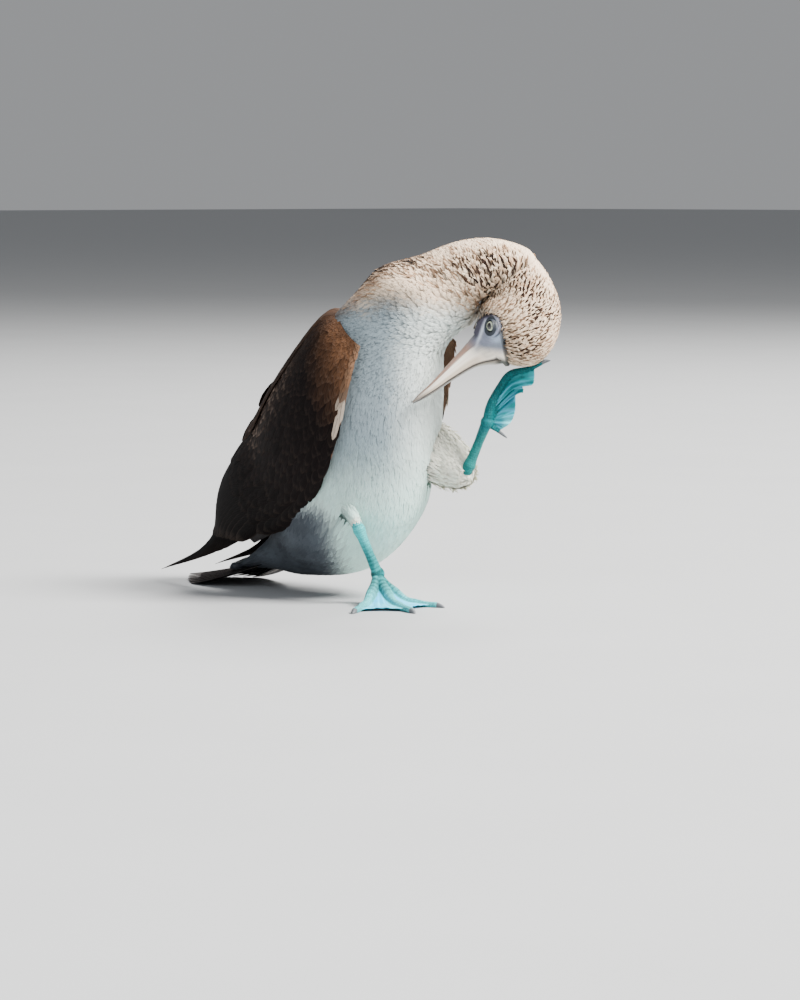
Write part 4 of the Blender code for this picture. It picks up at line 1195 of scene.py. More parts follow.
class BOOBY_OT_skin(BoobyStep, bpy.types.Operator):
    """Makes the one skin of trunk, neck, head and thighs, and the bare face with its lids."""

    bl_idname = "booby.skin"
    bl_label = "Skin and bare face"

    def execute(self, context):
        sizes, colours = self.settings(context)
        body = body_sheet()
        u, v = places(200, 96)
        depth = coat_depth(u, sizes) * ease(-0.01, 0.05, u)
        parts = [tube(body.at(u, v, -np.broadcast_to(depth, (200, 96))))]
        parts += [tube(limb_sheet(rows).at(*places(40, 40), -2.6)) for rows in (THIGH_RIGHT, THIGH_LEFT)]
        parts.append(tube(mantle_sheet().at(*places(50, 48), -3.0)))
        mesh = remeshed("skin", parts, 2.4, 8)
        points = read_points(mesh)
        tint = body_colour(points, colours)
        on_back = ease(20, 6, np.abs(points[:, 1] - MIDDLE) - 16) * ease(-30, -60, points[:, 0])
        high = ease(0, 12, (points[:, 2] - 120) + 0.75 * (-points[:, 0] - 150))
        brown = colours.wing_dark * 2
        tint = toward(tint, brown, on_back * high * ease(90, 130, points[:, 2]))
        put_tint(mesh, tint * 0.94)
        mesh.shade_smooth()
        nodes = ("trunk", "neck", "head", "mantle", "thigh_right", "thigh_left")
        piece("skin", mesh, "Skin under the coat", nodes)
        self.face(body, colours)
        return {"FINISHED"}

    def face(self, body, colours):
        """The head's front as a finer skin, at the feathers' level inside the bare face's edge. Each lid
        is a ball a little larger than the eye, laid over it round an almond opening."""
        u, v = places(150, 400, station(14.9))
        flat = body.at(u, v)
        edge = edge_distance(flat)
        points = body.at(u, v, -3.4 * ease(-0.3, 2.2, edge) + 0.3 * fractal(flat, 5, 9))
        tint = face_tint(points, colours)
        for side in (1, -1):
            centre, gaze = eye_axis(side)
            offset = points - centre
            ahead = offset @ gaze
            level = unit(np.cross(gaze, UP))
            x, y = offset @ level, offset @ np.cross(level, gaze)
            radius = np.hypot(x, y)
            opening = np.hypot(x / 0.70, y) + 0.02 * y
            lid = np.sqrt(np.maximum(LID_RADIUS**2 - radius**2, 0.0)) + 0.6 * bell(opening - 6.6, 0.6)
            over = np.where(radius < LID_RADIUS, np.maximum(ahead, lid), ahead)
            over = over + 0.45 * bell(radius - 10.6, 0.7) + 0.3 * bell(radius - 13.0, 0.6)
            over = over + (1.5 - over) * ease(6.0, 5.4, opening)
            near = (ahead > 0) & (radius < 16)
            points = points + (np.where(near, over - ahead, 0.0))[..., None] * gaze
            for colour, share in (
                ((0.40, 0.42, 0.58), bell(radius - 9.6, 1.0) * ease(-1, 5, offset @ REACH)),
                ((0.014, 0.018, 0.035), bell(radius - 11.9, 0.9) * ease(-2, 4, offset @ REACH)),
                ((0.004, 0.010, 0.018), ease(10.6, 9.4, opening)),
            ):
                tint = toward(tint, colour, 0.95 * share * near)
        # Painted shade where the bare skin goes in under the feathers.
        tint = tint * (1 - 0.7 * ease(-1.1, -0.2, edge))[..., None]
        made, faces = tube(points)
        mesh = new_mesh("bare_face", made, faces)
        put_tint(mesh, np.concatenate([tint.reshape(-1, 3), np.full((2, 3), 0.1)]))
        piece("bare_face", mesh, "Bare face")


def face_tint(points, colours):
    """Markings of the bare face and the bill's base: a light streak in front of the eye, painted shade above it
    against the fold of the neck, slate below, cream along the gape and dark under the chin."""
    reach, height = points @ REACH, points[..., 2]
    tint = np.ones(points.shape) * colours.face
    streak = reach - 91.5 - 0.375 * (height - 266)
    for colour, share in (
        (
            (0.34, 0.42, 0.55),
            ease(281, 274, height) * ease(265, 271, height + 0.2 * (reach - 110)) * ease(100, 112, reach),
        ),
        # Painted shade: dark above the eye and on the forehead, against the fold of the neck.
        (
            (0.035, 0.030, 0.060),
            np.maximum(ease(-0.5, -3, streak) * ease(268, 276, height), ease(290, 294, height)),
        ),
        ((0.62, 0.66, 0.78), bell(streak, 1.7) * ease(293, 288, height) * ease(258, 268, height)),
        ((0.17, 0.20, 0.24), 0.7 * bell(height - 263 - 0.35 * (reach - 104), 3.4)),
        (colours.bill, ease(265, 255, height + 0.1 * (reach - 110)) * ease(90, 97, reach - 0.2 * (height - 262))),
        ((0.16, 0.17, 0.17), 0.6 * ease(119, 123, reach + 0.3 * (height - 252))),
        ((0.022, 0.026, 0.022), ease(255.5, 250, height + 0.3 * (reach - 113)) * ease(108, 114, reach)),
    ):
        tint = toward(tint, colour, 0.95 * share)
    return tint


def region(body, spacing, seed, low, high, sheets=()):
    """Roots of a region of the body's coat: those on the bare face or under the wings are left out."""
    roots = scatter(body, spacing, seed, station(low), station(high))
    points = body.at(roots.u, roots.v)
    keep = np.ones(len(roots), dtype=bool)
    if high > 15:
        keep = edge_distance(points) > 0.6
    if sheets:
        keep &= ~hidden_under(points, sheets) & ((body.normal(roots.u, roots.v) * roots.facing).sum(-1) > 0.8)
    return roots.only(keep), points[keep]


class BOOBY_OT_head_coat(BoobyStep, bpy.types.Operator):
    """Covers the head and the neck with small pale feathers, and lays the dark streaks over them."""

    bl_idname = "booby.head_coat"
    bl_label = "Head and neck feathers"

    def execute(self, context):
        sizes, colours = self.settings(context)
        body = body_sheet()
        draw = np.random.default_rng(11)
        for name, spacing, low, high, length, width, apart, dash in (
            ("head_feathers", 1.75, 12.9, 17.0, sizes.head_feather, 3.4, 3.2, (6.4, 1.9)),
            ("neck_feathers", 2.5, 7.5, 13.1, sizes.neck_feather, 4.8, 4.0, (10.0, 2.15)),
        ):
            roots, points = region(body, spacing, 3, low, high)
            small = 0.5 + 0.5 * ease(0, 13, edge_distance(points)) if high > 15 else np.ones(len(roots))
            streaked = streaking(roots.u, roots.v, points)
            pale = body_vanes(
                body, roots, 1000 * length * small, width * small, draw,
                root=-0.6 * coat_depth(roots.u, sizes), tip=0.2 * small, swing=0.2, ridge=0.09,
                loose=0.3 + 0.7 * streaked, relief=0.08 + 0.26 * streaked,
                turn=fan_out(roots.u, roots.v), rough=0.10 + 0.22 * streaked,
            )
            tint = body_colour(points, colours) * draw.normal(1, 0.05, len(roots))[:, None]
            # Painted shade in the fold against the neck, above the eye.
            tint = tint * (1 - 0.6 * self.fold(points))[:, None]
            warm = np.clip(1.2 * draw.random(len(roots)) - 0.35, 0, 1) * streaked
            tint = toward(tint, (0.52, 0.29, 0.15), warm)
            inked, spots = region(body, apart, 7, low, high)
            strength = streaking(inked.u, inked.v, spots)
            if high > 15:
                strength = strength * (0.6 + 0.4 * ease(0, 14, edge_distance(spots)))
            kept = strength > draw.random(len(strength)) * (0.66 if high > 15 else 0.80)
            inked, strength, spots = inked.only(kept), strength[kept], spots[kept]
            small = 0.62 + 0.38 * ease(0, 16, edge_distance(spots)) if high > 15 else np.ones(len(inked))
            wide = dash[1] * small * (0.55 + 0.5 * strength) * draw.uniform(0.7, 1.2, len(small))
            dark = body_vanes(
                body, inked, dash[0] * small * draw.uniform(0.75, 1.2, len(small)), wide, draw,
                root=-0.3 * small, tip=0.45 * small + 0.1, swing=0.2, ridge=0.12, loose=0.0,
                relief=0.3, turn=fan_out(inked.u, inked.v),
            )
            pale_ink = colours.cream * np.array([0.30, 0.24, 0.20])
            ink = toward(pale_ink, colours.streak, ease(0.25, 0.9, strength))
            ink = ink * draw.uniform(0.7, 2.6, (len(small), 1))
            tints = np.concatenate([tint, ink])
            marks = np.concatenate([0.8 * streaked * draw.random(len(roots)), np.zeros(len(inked))])
            vanes = tuple(np.concatenate(pair) for pair in zip(pale, dark))
            coat(name, vanes, roots.together(inked), tints, marks, "Streaked plumage", "plumage_streaked")
        return {"FINISHED"}

    def fold(self, points):
        """Painted shade in the fold where the head bends against the neck, above the eye."""
        spot = pairs(points @ REACH - 94, points[..., 2] - 300) / np.array([9.0, 13.0])
        return np.exp(-(spot**2).sum(-1))


class BOOBY_OT_body_coat(BoobyStep, bpy.types.Operator):
    """Covers breast, belly, vent and rump with soft white feathers."""

    bl_idname = "booby.body_coat"
    bl_label = "White body feathers"

    def execute(self, context):
        sizes, colours = self.settings(context)
        body = body_sheet()
        draw = np.random.default_rng(12)
        covers = [wing_sheet(-1), wing_sheet(1), mantle_sheet()]
        for name, spacing, low, high, length, width, relief in (
            ("breast_feathers", 2.7, 6.4, 8.7, sizes.breast_feather, 4.2, 0.05),
            ("belly_feathers", 2.9, 4.2, 6.6, sizes.belly_feather, 4.6, 0.05),
            ("lower_belly_feathers", 2.9, 2.6, 4.4, sizes.belly_feather, 4.6, 0.06),
            ("vent_feathers", 3.1, 0.3, 2.9, sizes.belly_feather * 1.5, 5.6, 0.2),
        ):
            roots, points = region(body, spacing, 4, low, high, covers)
            size = np.full(len(roots), 1000 * length)
            vanes = body_vanes(
                body, roots, size, width, draw, root=-1.1, tip=0.0, swing=0.10, ridge=0.02, loose=0.3,
                relief=relief, rough=0.04,
            )
            tint = body_colour(points, colours) * draw.normal(1, 0.02, len(roots))[:, None]
            marks = 0.35 * ease(station(3.6), station(1.0), roots.u)
            coat(name, vanes, roots, tint, marks, "White plumage", "plumage_white")
        return {"FINISHED"}


class BOOBY_OT_thigh_coat(BoobyStep, bpy.types.Operator):
    """Covers both thighs with soft tufts that lie towards the ankle."""

    bl_idname = "booby.thigh_coat"
    bl_label = "Thigh tufts"

    def execute(self, context):
        sizes, colours = self.settings(context)
        draw = np.random.default_rng(13)
        for name, rows, loose in (
            ("thigh_tufts_right", THIGH_RIGHT, 0.3),
            ("thigh_tufts_left", THIGH_LEFT, 4.5),
        ):
            sheet = limb_sheet(rows)
            roots = scatter(sheet, 1.6, 5)
            if rows is THIGH_RIGHT:
                height = np.maximum(roots.height, np.median(roots.height))
                roots = Roots(roots.u, roots.v, height, roots.facing)
            small = 0.45 + 0.55 * ease(0.0, 0.35, roots.u)
            vanes = body_vanes(
                sheet, roots, 1000 * sizes.thigh_feather * small, 2.0 * small, draw,
                root=-1.6 * small, tip=0.3, swing=0.14 + 0.035 * loose, ridge=0.05, loose=loose,
                relief=0.10, rough=0.15 + 0.09 * loose,
            )
            tint = colours.white * np.array([1.09, 1.03, 0.92])
            if rows is THIGH_RIGHT:
                flank = body_colour(sheet.at(roots.u, roots.v), colours)
                tint = toward(tint, flank, ease(0.24, 0.44, roots.u))
            tint = tint * draw.normal(1, 0.03, len(roots))[:, None]
            marks = draw.uniform(0, 0.25, len(roots))
            coat(name, vanes, roots, tint, marks, "White plumage", "plumage_white")
        return {"FINISHED"}


class BOOBY_OT_mantle_coat(BoobyStep, bpy.types.Operator):
    """Covers the back between the wings with brown feathers, pale-tipped towards the neck."""

    bl_idname = "booby.mantle_coat"
    bl_label = "Back feathers"

    def execute(self, context):
        sizes, colours = self.settings(context)
        draw = np.random.default_rng(14)
        sheet = mantle_sheet()
        roots = scatter(sheet, 4.0, 6)
        points = sheet.at(roots.u, roots.v)
        covered = hidden_under(points, [wing_sheet(-1), wing_sheet(1)])
        keep = ~covered & (np.sin(2 * math.pi * roots.v) > -0.35)
        roots, points = roots.only(keep), points[keep]
        size = np.full(len(roots), 1000 * sizes.mantle_feather)
        vanes = body_vanes(sheet, roots, size, 9.0, draw, root=-2.6, tip=0.6, swing=0.12, ridge=0.04)
        pale = ease(0.72, 1.0, roots.u + 0.12 * fractal(points, 22, 8))
        brown = colours.wing_dark * 1.7
        tint = toward(brown, (0.42, 0.36, 0.30), 0.7 * pale)
        tint = tint * draw.normal(1, 0.12, len(roots))[:, None]
        marks = np.clip(draw.normal(0.45, 0.25, len(roots)), 0, 1)
        coat("back_feathers", vanes, roots, tint, marks, "Brown plumage", "plumage_brown")
        return {"FINISHED"}


def blade(outline, stations, columns):
    """Half widths of a vane along it, and places across it from -1 to 1."""
    run = np.linspace(0, 1, stations)
    return run, np.interp(run, *outline), np.linspace(-1, 1, columns)


QUILL = ((0, 0.12, 0.45, 0.75, 0.9, 0.97, 1.0), (0.30, 0.70, 1.0, 0.95, 0.66, 0.36, 0.08))
POINTED = ((0, 0.15, 0.5, 0.75, 0.9, 1.0), (0.45, 0.9, 1.0, 0.72, 0.40, 0.06))
ROUNDED = ((0, 0.2, 0.5, 0.8, 0.93, 1.0), (0.45, 0.85, 1.0, 0.88, 0.58, 0.12))


def wing_vanes(sheet, root, tip, draw, width, low, high, outline, stations, columns, slope):
    """Vanes on the wing: roots and tips are (s, t) places, low and high their heights over it; each is
    arched across by a parabola, sloped sideways, and its rim has a few small gaps between barbs."""
    run, half, across = blade(outline, stations, columns)
    width, low, high = (np.broadcast_to(value, len(root)) for value in (width, low, high))
    s = root[:, :1] + (tip - root)[:, :1] * run
    t = root[:, 1:] + (tip - root)[:, 1:] * run**1.3
    metric = sheet.read(s, across_wing(t))[..., 7] / WING_SPAN
    wide = (width / 2)[:, None] * half
    gaps = 1 - 0.10 * (draw.random((len(s), stations, 2)) > 0.86)
    reach = np.where(across < 0, gaps[..., :1], gaps[..., 1:]) * across
    dt = wide[..., None] * reach / np.maximum(metric, 30)[..., None]
    lift = low[:, None] + (high - low)[:, None] * run
    lift = lift[..., None] + 0.05 * wide[..., None] * (1 - across**2) + slope * wide[..., None] * across
    s, t = np.broadcast_to(s[..., None], dt.shape), t[..., None] + dt
    upper, lower = on_wing(sheet, s, t, lift + VANE_HALF), on_wing(sheet, s, t, lift - VANE_HALF)
    facing = sheet.normal(s, across_wing(t))
    sideways = unit(np.gradient(upper, axis=2))
    ahead = unit(np.gradient(upper, axis=1))
    lean = VANE_RELIEF * (across[:, None] * sideways + 0.3 * run[:, None, None] * ahead)
    return upper, lower, run, across, unit(facing + lean)


def vane_piece(name, groups, finish_name, stands_for=()):
    """Joins groups of vanes, each (upper, lower, run, across, normals, roots, tint, mark), in one piece."""
    parts = []
    for upper, lower, run, across, normals, roots, tint, mark in groups:
        points, faces = shells(upper, lower)
        shape = (len(upper), 2, len(run), len(across))
        x = np.broadcast_to(((across + 1) / 2)[None, None, None], shape)
        y = np.broadcast_to(run[None, None, :, None], shape)
        both = np.stack([normals, -normals], axis=1)
        parts.append(vane_parts(points, faces, both, x, y, roots, tint, mark))
    dressed(name, parts, finish_name, stands_for)


def wing_tint(s, t, points, colours, draw):
    """Warm brown at the shoulder and along the front, near black below, lighter again on the back."""
    warm, dark = colours.wing_warm, colours.wing_dark
    share = ease(0.27, 0.03, s + 0.16 * t) + 0.16 * ease(0.4, 1.0, t) * ease(0.62, 0.30, s)
    share = np.clip(share * (1 + 0.4 * fractal(points, 20, 21)), 0, 1)
    tint = toward(dark, warm, share)
    tint = tint * (1 - 0.5 * ease(0.40, 0.60, s)[:, None])
    return tint * draw.normal(1, 0.13, len(tint))[:, None]


class BOOBY_OT_wings(BoobyStep, bpy.types.Operator):
    """Lays each folded wing: its bed, primaries, secondaries, coverts in rows and scapulars."""

    bl_idname = "booby.wings"
    bl_label = "Wings"

    def execute(self, context):
        sizes, colours = self.settings(context)
        for name, side in (("right", -1), ("left", 1)):
            sheet = wing_sheet(side)
            self.bed(name, sheet, colours)
            self.quills(name, sheet, colours, side)
            self.coverts(name, sheet, sizes, colours)
        return {"FINISHED"}

    def bed(self, name, sheet, colours):
        """The wing's arm and hand: a slab under the surface, thin at its edges."""
        s = np.linspace(0.0, 0.62, 60)[:, None]
        t = np.linspace(0, 1, 40)[None]
        s, t = np.broadcast_arrays(s, t)
        thick = np.interp(s, np.linspace(0, 1, len(WING)), [row[7] for row in WING])
        thick = thick * np.clip(np.minimum(t, 1 - t) / 0.2, 0.12, 1) * np.clip(0.15 + s / 0.08, 0, 1)
        upper, lower = on_wing(sheet, s, t, np.full(s.shape, -0.6)), on_wing(sheet, s, t, -0.6 - thick)
        points, faces = shells(upper[None], lower[None])
        mesh = new_mesh("wing_bed_" + name, points, faces)
        warm = ease(0.30, 0.05, t) * ease(0.45, 0.25, s)
        tint = toward(colours.wing_dark, colours.wing_warm * 0.8, warm)
        put_tint(mesh, np.tile(tint.reshape(-1, 3), (2, 1)))
        piece("wing_bed_" + name, mesh, "Skin under the coat", ("wing_" + name,))

    def quills(self, name, sheet, colours, side):
        """Ten primaries stacked under sixteen secondaries."""
        draw = np.random.default_rng(31 + side)
        groups = []
        share = np.linspace(0, 1, 10)
        root = pairs(0.54, 0.12 + 0.40 * share)
        tip = pairs(1.0 - 0.17 * (1 - share) ** 1.2, 0.30 + 0.36 * share)
        under = (1 - share) * 7.0
        made = wing_vanes(
            sheet, root, tip, draw, width=21.0, low=-1.8 - 0.15 * under, high=-0.6 - under,
            outline=POINTED, stations=18, columns=7, slope=0.0,
        )
        tint = np.ones((10, 3)) * colours.wing_dark * draw.normal(0.5, 0.06, 10)[:, None]
        groups.append((*made, root, tint, np.full(10, 0.06)))
        share = np.linspace(0, 1, 18)
        root = pairs(0.44, 0.14 + 0.77 * share)
        tip = pairs(0.665 + 0.125 * np.sin(share * 2.3) + draw.normal(0, 0.004, 18), 0.09 + 0.85 * share)
        made = wing_vanes(
            sheet, root, tip, draw, width=19.0, low=-2.2, high=1.0,
            outline=QUILL, stations=14, columns=7, slope=0.09,
        )
        s, t = root.T
        tint = wing_tint(s + 0.2, t, on_wing(sheet, s, t, 0.0), colours, draw)
        groups.append((*made, root, tint, draw.uniform(0.05, 0.14, 18)))
        vane_piece("wing_quills_" + name, groups, "Brown plumage")

    def coverts(self, name, sheet, sizes, colours):
        """Rows of coverts: row number n ends at a set step along the wing, and feathers grow longer and
        wider row by row; the first rows stay off the front edge. Scapulars lie over the back edge, and four
        short feathers close the shoulder."""
        draw = np.random.default_rng(41)
        groups = []
        rows = sizes.covert_rows
        chords = [np.hypot(np.hypot(r[3] - r[0], r[4] - r[1]), r[5] - r[2]) * 1.12 for r in WING]
        for number in range(rows, -1, -1):
            share = number / rows
            ends = 0.012 + 0.565 * share**1.25
            length = 0.034 + 0.090 * share**1.5
            width = 4.6 + 14.5 * share**1.2
            chord = np.interp(ends, np.linspace(0, 1, len(WING)), chords)
            count = int(chord / (width * 0.52))
            first = (0.5 * width - 1.5) / chord
            t = np.linspace(first, 1.03, count) + draw.normal(0, 0.3 / count, count)
            s = ends + draw.normal(0, 0.006, count)
            s[0], t[0] = ends, first
            t[1] += 0.02
            root = pairs(s - length, t)
            tip = pairs(s, t + draw.normal(0.0, 0.010, count))
            white = (np.arange(count) == 0) * ease(0.145, 0.195, s) * ease(0.250, 0.235, s)
            wide = width * draw.uniform(0.85, 1.15, count) * (1 - 0.25 * white)
            over = 1.1 + 0.6 * share + draw.normal(0, 0.08, count)
            over[0] += 0.4
            made = wing_vanes(
                sheet, root, tip, draw, width=wide, low=-1.3, high=over,
                outline=ROUNDED, stations=7, columns=5, slope=0.05,
            )
            points = on_wing(sheet, s, t, 0.0)
            tint = wing_tint(s, t, points, colours, draw)
            pale = 0.5 * ease(0.05, 0.0, t) * ease(0.19, 0.12, s)
            tint = toward(toward(tint, (0.30, 0.18, 0.11), pale), (0.55, 0.45, 0.36), white)
            mark = 0.05 + 0.85 * ease(0.42, 0.80, t) * ease(0.20, 0.28, s) * ease(0.48, 0.42, s)
            mark = (mark + 0.12 * ease(0.25, 0.05, s)) * draw.uniform(0.3, 1.4, count)
            groups.append((*made, np.clip(root, 0, 1), tint, mark))

        def lay_over(start, t, tip, width, low, high):
            root = pairs(start, t)
            made = wing_vanes(
                sheet, root, tip, draw, width=width, low=low, high=high,
                outline=ROUNDED, stations=10, columns=5, slope=0.06,
            )
            tint = wing_tint(start, t, on_wing(sheet, start, t, 0.0), colours, draw) * 0.8
            groups.append((*made, root, tint, draw.uniform(0.1, 0.3, len(start))))

        start = np.repeat(np.linspace(0.02, 0.33, 12), 3)
        t = np.tile([0.80, 0.885, 0.965], 12) + draw.normal(0, 0.012, 36)
        height = 1.0 + 3.4 * (start - 0.02) / 0.32
        lay_over(start, t, pairs(start + 0.08 + 0.20 * start, t - 0.015), 17.0, height - 1.2, height + 1.4)
        start, t = np.array([0.0, 0.0, 0.015, 0.03]), np.array([0.90, 1.0, 1.05, 1.07])
        lay_over(start, t, pairs(start + 0.075, t - 0.01), 15.0, -1.0, 1.2)
        vane_piece("wing_coverts_" + name, groups, "Brown plumage")


class BOOBY_OT_tail(BoobyStep, bpy.types.Operator):
    """Fans the tail feathers over the floor."""

    bl_idname = "booby.tail"
    bl_label = "Tail"

    def execute(self, context):
        sizes, colours = self.settings(context)
        draw = np.random.default_rng(51)
        count = sizes.tail_feathers
        number = np.arange(count) - count // 2
        out = np.abs(number)
        run, half, across = blade(QUILL, 22, 9)
        turn = number * math.radians(2.1) * 13 / count
        length = 162 - 8.5 * out * 13 / count
        ahead = pairs(-np.cos(turn), np.sin(turn), 0.0)[:, None, None]
        sideways = pairs(np.sin(turn), np.cos(turn), 0.0)[:, None, None]
        root = pairs(-172.0, MIDDLE + 3.4 * number * 13 / count, 0.0)[:, None, None]
        height = 0.5 + 0.45 * (count // 2 - out)[:, None] + 31 * (1 - run) ** 1.25
        wide = 10.4 * half[None, :, None] * (1 - 0.1 * (draw.random((count, 22, 1)) > 0.88))
        line = root + (length[:, None] * run)[..., None, None] * ahead + height[..., None, None] * UP
        offset = wide * across
        lift = 0.9 * (1 - across**2) * half[:, None] + 0.35 * (across == 0)
        upper = line + offset[..., None] * sideways + (lift + 0.3)[None, ..., None] * UP
        lower = line + offset[..., None] * sideways + (lift * 0.8 - 0.25)[None, ..., None] * UP
        tint = np.ones((count, 3)) * colours.tail * draw.normal(1, 0.1, count)[:, None]
        tint = tint * (0.55 + 0.9 * bell(number, 3.0))[:, None]
        seats = pairs(0.2, (number + count // 2) / count)
        facing = unit(np.cross(np.gradient(upper, axis=2), np.gradient(upper, axis=1)))
        facing = facing * np.sign(facing[..., 2:])
        group = (upper, lower, run, across, facing, seats, tint, np.full(count, 0.2))
        vane_piece("tail_feathers", [group], "Tail plumage", ("tail",))
        return {"FINISHED"}


class BOOBY_OT_eyes(BoobyStep, bpy.types.Operator):
    """Makes both eyes: balls whose front swells into the cornea, mapped by the angle from the gaze."""

    bl_idname = "booby.eyes"
    bl_label = "Eyes"

    def execute(self, context):
        for name, side in (("eye_left", 1), ("eye_right", -1)):
            centre, gaze = eye_axis(side)
            rows, columns = 40, 48
            polar = np.linspace(0.02, math.pi - 0.02, rows)[:, None, None]
            angle = ring_angles(columns)[None, :, None]
            first = unit(np.cross(gaze, UP))
            second = np.cross(gaze, first)
            radius = EYE_RADIUS * (0.985 + 0.05 * np.exp(-((polar / 0.62) ** 4)))
            spoke = np.cos(angle) * first + np.sin(angle) * second
            rings = centre + radius * (np.cos(polar) * gaze + np.sin(polar) * spoke)
            points, faces = tube(rings)
            mesh = new_mesh(name + "_ball", points, faces)
            x = np.broadcast_to((np.arange(columns) / columns)[None], (rows, columns))
            oval = 1 + 0.28 * np.cos(ring_angles(columns)) ** 2 * np.linspace(1, 0, rows)[:, None] ** 2
            y = oval * np.linspace(0.02, math.pi - 0.02, rows)[:, None] / math.pi
            put_map(mesh, "Gaze", tube_map(x, y))
            piece(name + "_ball", mesh, "Wet eye", (name,))
        return {"FINISHED"}


class BOOBY_OT_bill(BoobyStep, bpy.types.Operator):
    """Makes the two mandibles: arches over and under the mouth line, with a groove beside the culmen."""

    bl_idname = "booby.bill"
    bl_label = "Bill"

    def execute(self, context):
        _, colours = self.settings(context)
        back = unit(FACE - BILL_TIP)
        rows = smooth(np.array(BILL, float), 12)
        share = rows[:, 0] / BILL[-1][0]
        turned = np.radians(-54 + 8 * share**3)
        chinward = np.cos(turned)[:, None] * REACH + np.sin(turned)[:, None] * UP
        along = (np.linalg.norm(FACE - BILL_TIP) + 1.2) * share
        centre = bend_point(*(BILL_TIP[:, None] + back[:, None] * along))
        arch = np.linspace(0, math.pi, 73)
        culmen, chin, half_width, mouth = (rows[:, k : k + 1] for k in (1, 2, 3, 4))
        bow = np.sin(arch)[None]
        for name, upper in (("bill_upper", True), ("bill_lower", False)):
            if upper:
                groove = bell(np.abs(arch - math.pi / 2) - 0.68, 0.07)[None]
                groove = groove + 0.5 * bell(np.abs(arch - math.pi / 2) - 0.95, 0.06)[None]
                groove = groove * (ease(0.05, 0.3, share) * ease(1.0, 0.9, share))[:, None] * 0.04 * culmen
                height = (mouth - 0.2) - bow**0.93 * (culmen + mouth - 0.2) + groove
                tooth = 0.10 * np.sin(share * 300)[:, None] * ease(0.2, 0.0, bow)
                height = height + tooth * ease(0.9, 0.7, share)[:, None]
            else:
                height = (mouth + 0.2) + bow * np.maximum(chin - mouth - 0.2, 0.5)
            side = np.cos(arch)[None] * half_width * (1 - 0.05 * ease(0.5, 0.0, bow) * (not upper))
            rings = centre[:, None] + side[..., None] * ASIDE + height[..., None] * chinward[:, None]
            inner = np.linspace(-1, 1, 17)[1:-1]
            roof = centre[:, None] + (inner[None] * half_width)[..., None] * ASIDE
            level = (mouth + (-0.2 if upper else 0.2)) * np.ones((1, 15))
            roof = roof + level[..., None] * chinward[:, None]
            loop = np.concatenate([rings, roof], axis=1)
            points, faces = tube(loop)
            mesh = new_mesh(name + "_horn", points, faces)
            x = np.concatenate([arch / math.pi, np.linspace(1, 0, 15)])
            x = np.broadcast_to(x[None], loop.shape[:2])
            y = np.broadcast_to(share[:, None], loop.shape[:2])
            plan = tube_map(x, y)
            if not upper:
                plan[:, 0] = 0.5 + np.clip(np.abs(plan[:, 0] - 0.5), 0.36, 0.5)
            put_map(mesh, "Horn", plan)
            tint, base = face_tint(points, colours), ease(0.78, 0.98, plan[:, 1])
            if not upper:
                # Painted shade: the lower mandible, under the bill, is made dark.
                tint = 0.15 * tint + np.array([0.03, 0.022, 0.012])
                base = np.maximum(base, 0.85)
            put_tint(mesh, tint)
            put_values(mesh, "Mark", base)
            piece(name + "_horn", mesh, "Bill horn", (name,))
        return {"FINISHED"}


def resample(path, count):
    """The path at this many places, evenly along its length."""
    lengths = np.concatenate([[0], np.cumsum(np.linalg.norm(np.diff(path, axis=0), axis=1))])
    wanted = np.linspace(0, lengths[-1], count)
    return pairs(*(np.interp(wanted, lengths, path[:, k]) for k in range(3)))


def standing_toe(row):
    """A toe that slopes down from the joint and lies flat towards its tip, swollen at its joints."""
    turn, length, root_radius, tip_radius = row
    turn = math.radians(turn)
    run = np.linspace(0, 1, 49)
    swell = np.interp(run, [0, 0.14, 0.3, 0.46, 0.62, 0.8, 1.0], [1.0, 0.95, 1.12, 0.93, 1.15, 0.95, 1.0])
    radii = (root_radius + (tip_radius - root_radius) * run) * swell
    drop = JOINT_RIGHT[2] - radii[0] + SOLE_SINK - 2
    height = radii - SOLE_SINK + drop * np.clip(1 - run / 0.62, 0, 1) ** 1.5
    path = pairs(length * run * math.cos(turn), length * run * math.sin(turn), height)
    path[:, :2] += JOINT_RIGHT[:2]
    return path, radii


def raised_toe(row):
    points, root_radius, tip_radius = row
    joints = np.array([JOINT_LEFT, *(bend_point(*point) for point in points)], float)
    path = resample(smooth(joints, 8), 49)
    run = np.linspace(0, 1, 49)
    return path, (root_radius + (tip_radius - root_radius) * run) * (1 + 0.07 * np.sin(run * 14))


def web(first, second, droop, way, thickness, pleats):
    """Skin between two toes: straight across, sagging by a parabola, scalloped at its free edge."""
    run = np.linspace(0.0, 0.90, 60) * 48
    low = np.minimum(run.astype(int), 47)
    part = (run - low)[:, None]
    a = first[low] * (1 - part) + first[low + 1] * part
    b = second[low] * (1 - part) + second[low + 1] * part
    share = np.linspace(0, 1, 40)[None, :, None]
    down = np.linspace(0, 1, 60)[:, None, None]
    grid = a[:, None] * (1 - share) + b[:, None] * share
    scallop = 4 * share * (1 - share)
    grid = grid + scallop * down**2 * 0.10 * (a[0] - grid[-1])
    grid = grid + scallop * down * droop * np.asarray(way, float)
    normal = unit(np.cross(np.gradient(grid, axis=0), np.gradient(grid, axis=1)))
    grid = grid + normal * pleats * np.sin(share * math.pi * 9) * scallop * ease(0.1, 0.6, down)
    return shells((grid + thickness / 2 * normal)[None], (grid - thickness / 2 * normal)[None])


def ball(centre, radius):
    polar = np.linspace(0.05, math.pi - 0.05, 16)[:, None, None]
    angle = ring_angles(24)[None, :, None]
    spoke = np.cos(angle) * np.array([1.0, 0, 0]) + np.sin(angle) * np.array([0, 1.0, 0])
    return tube(centre + radius * (np.cos(polar) * UP + np.sin(polar) * spoke))


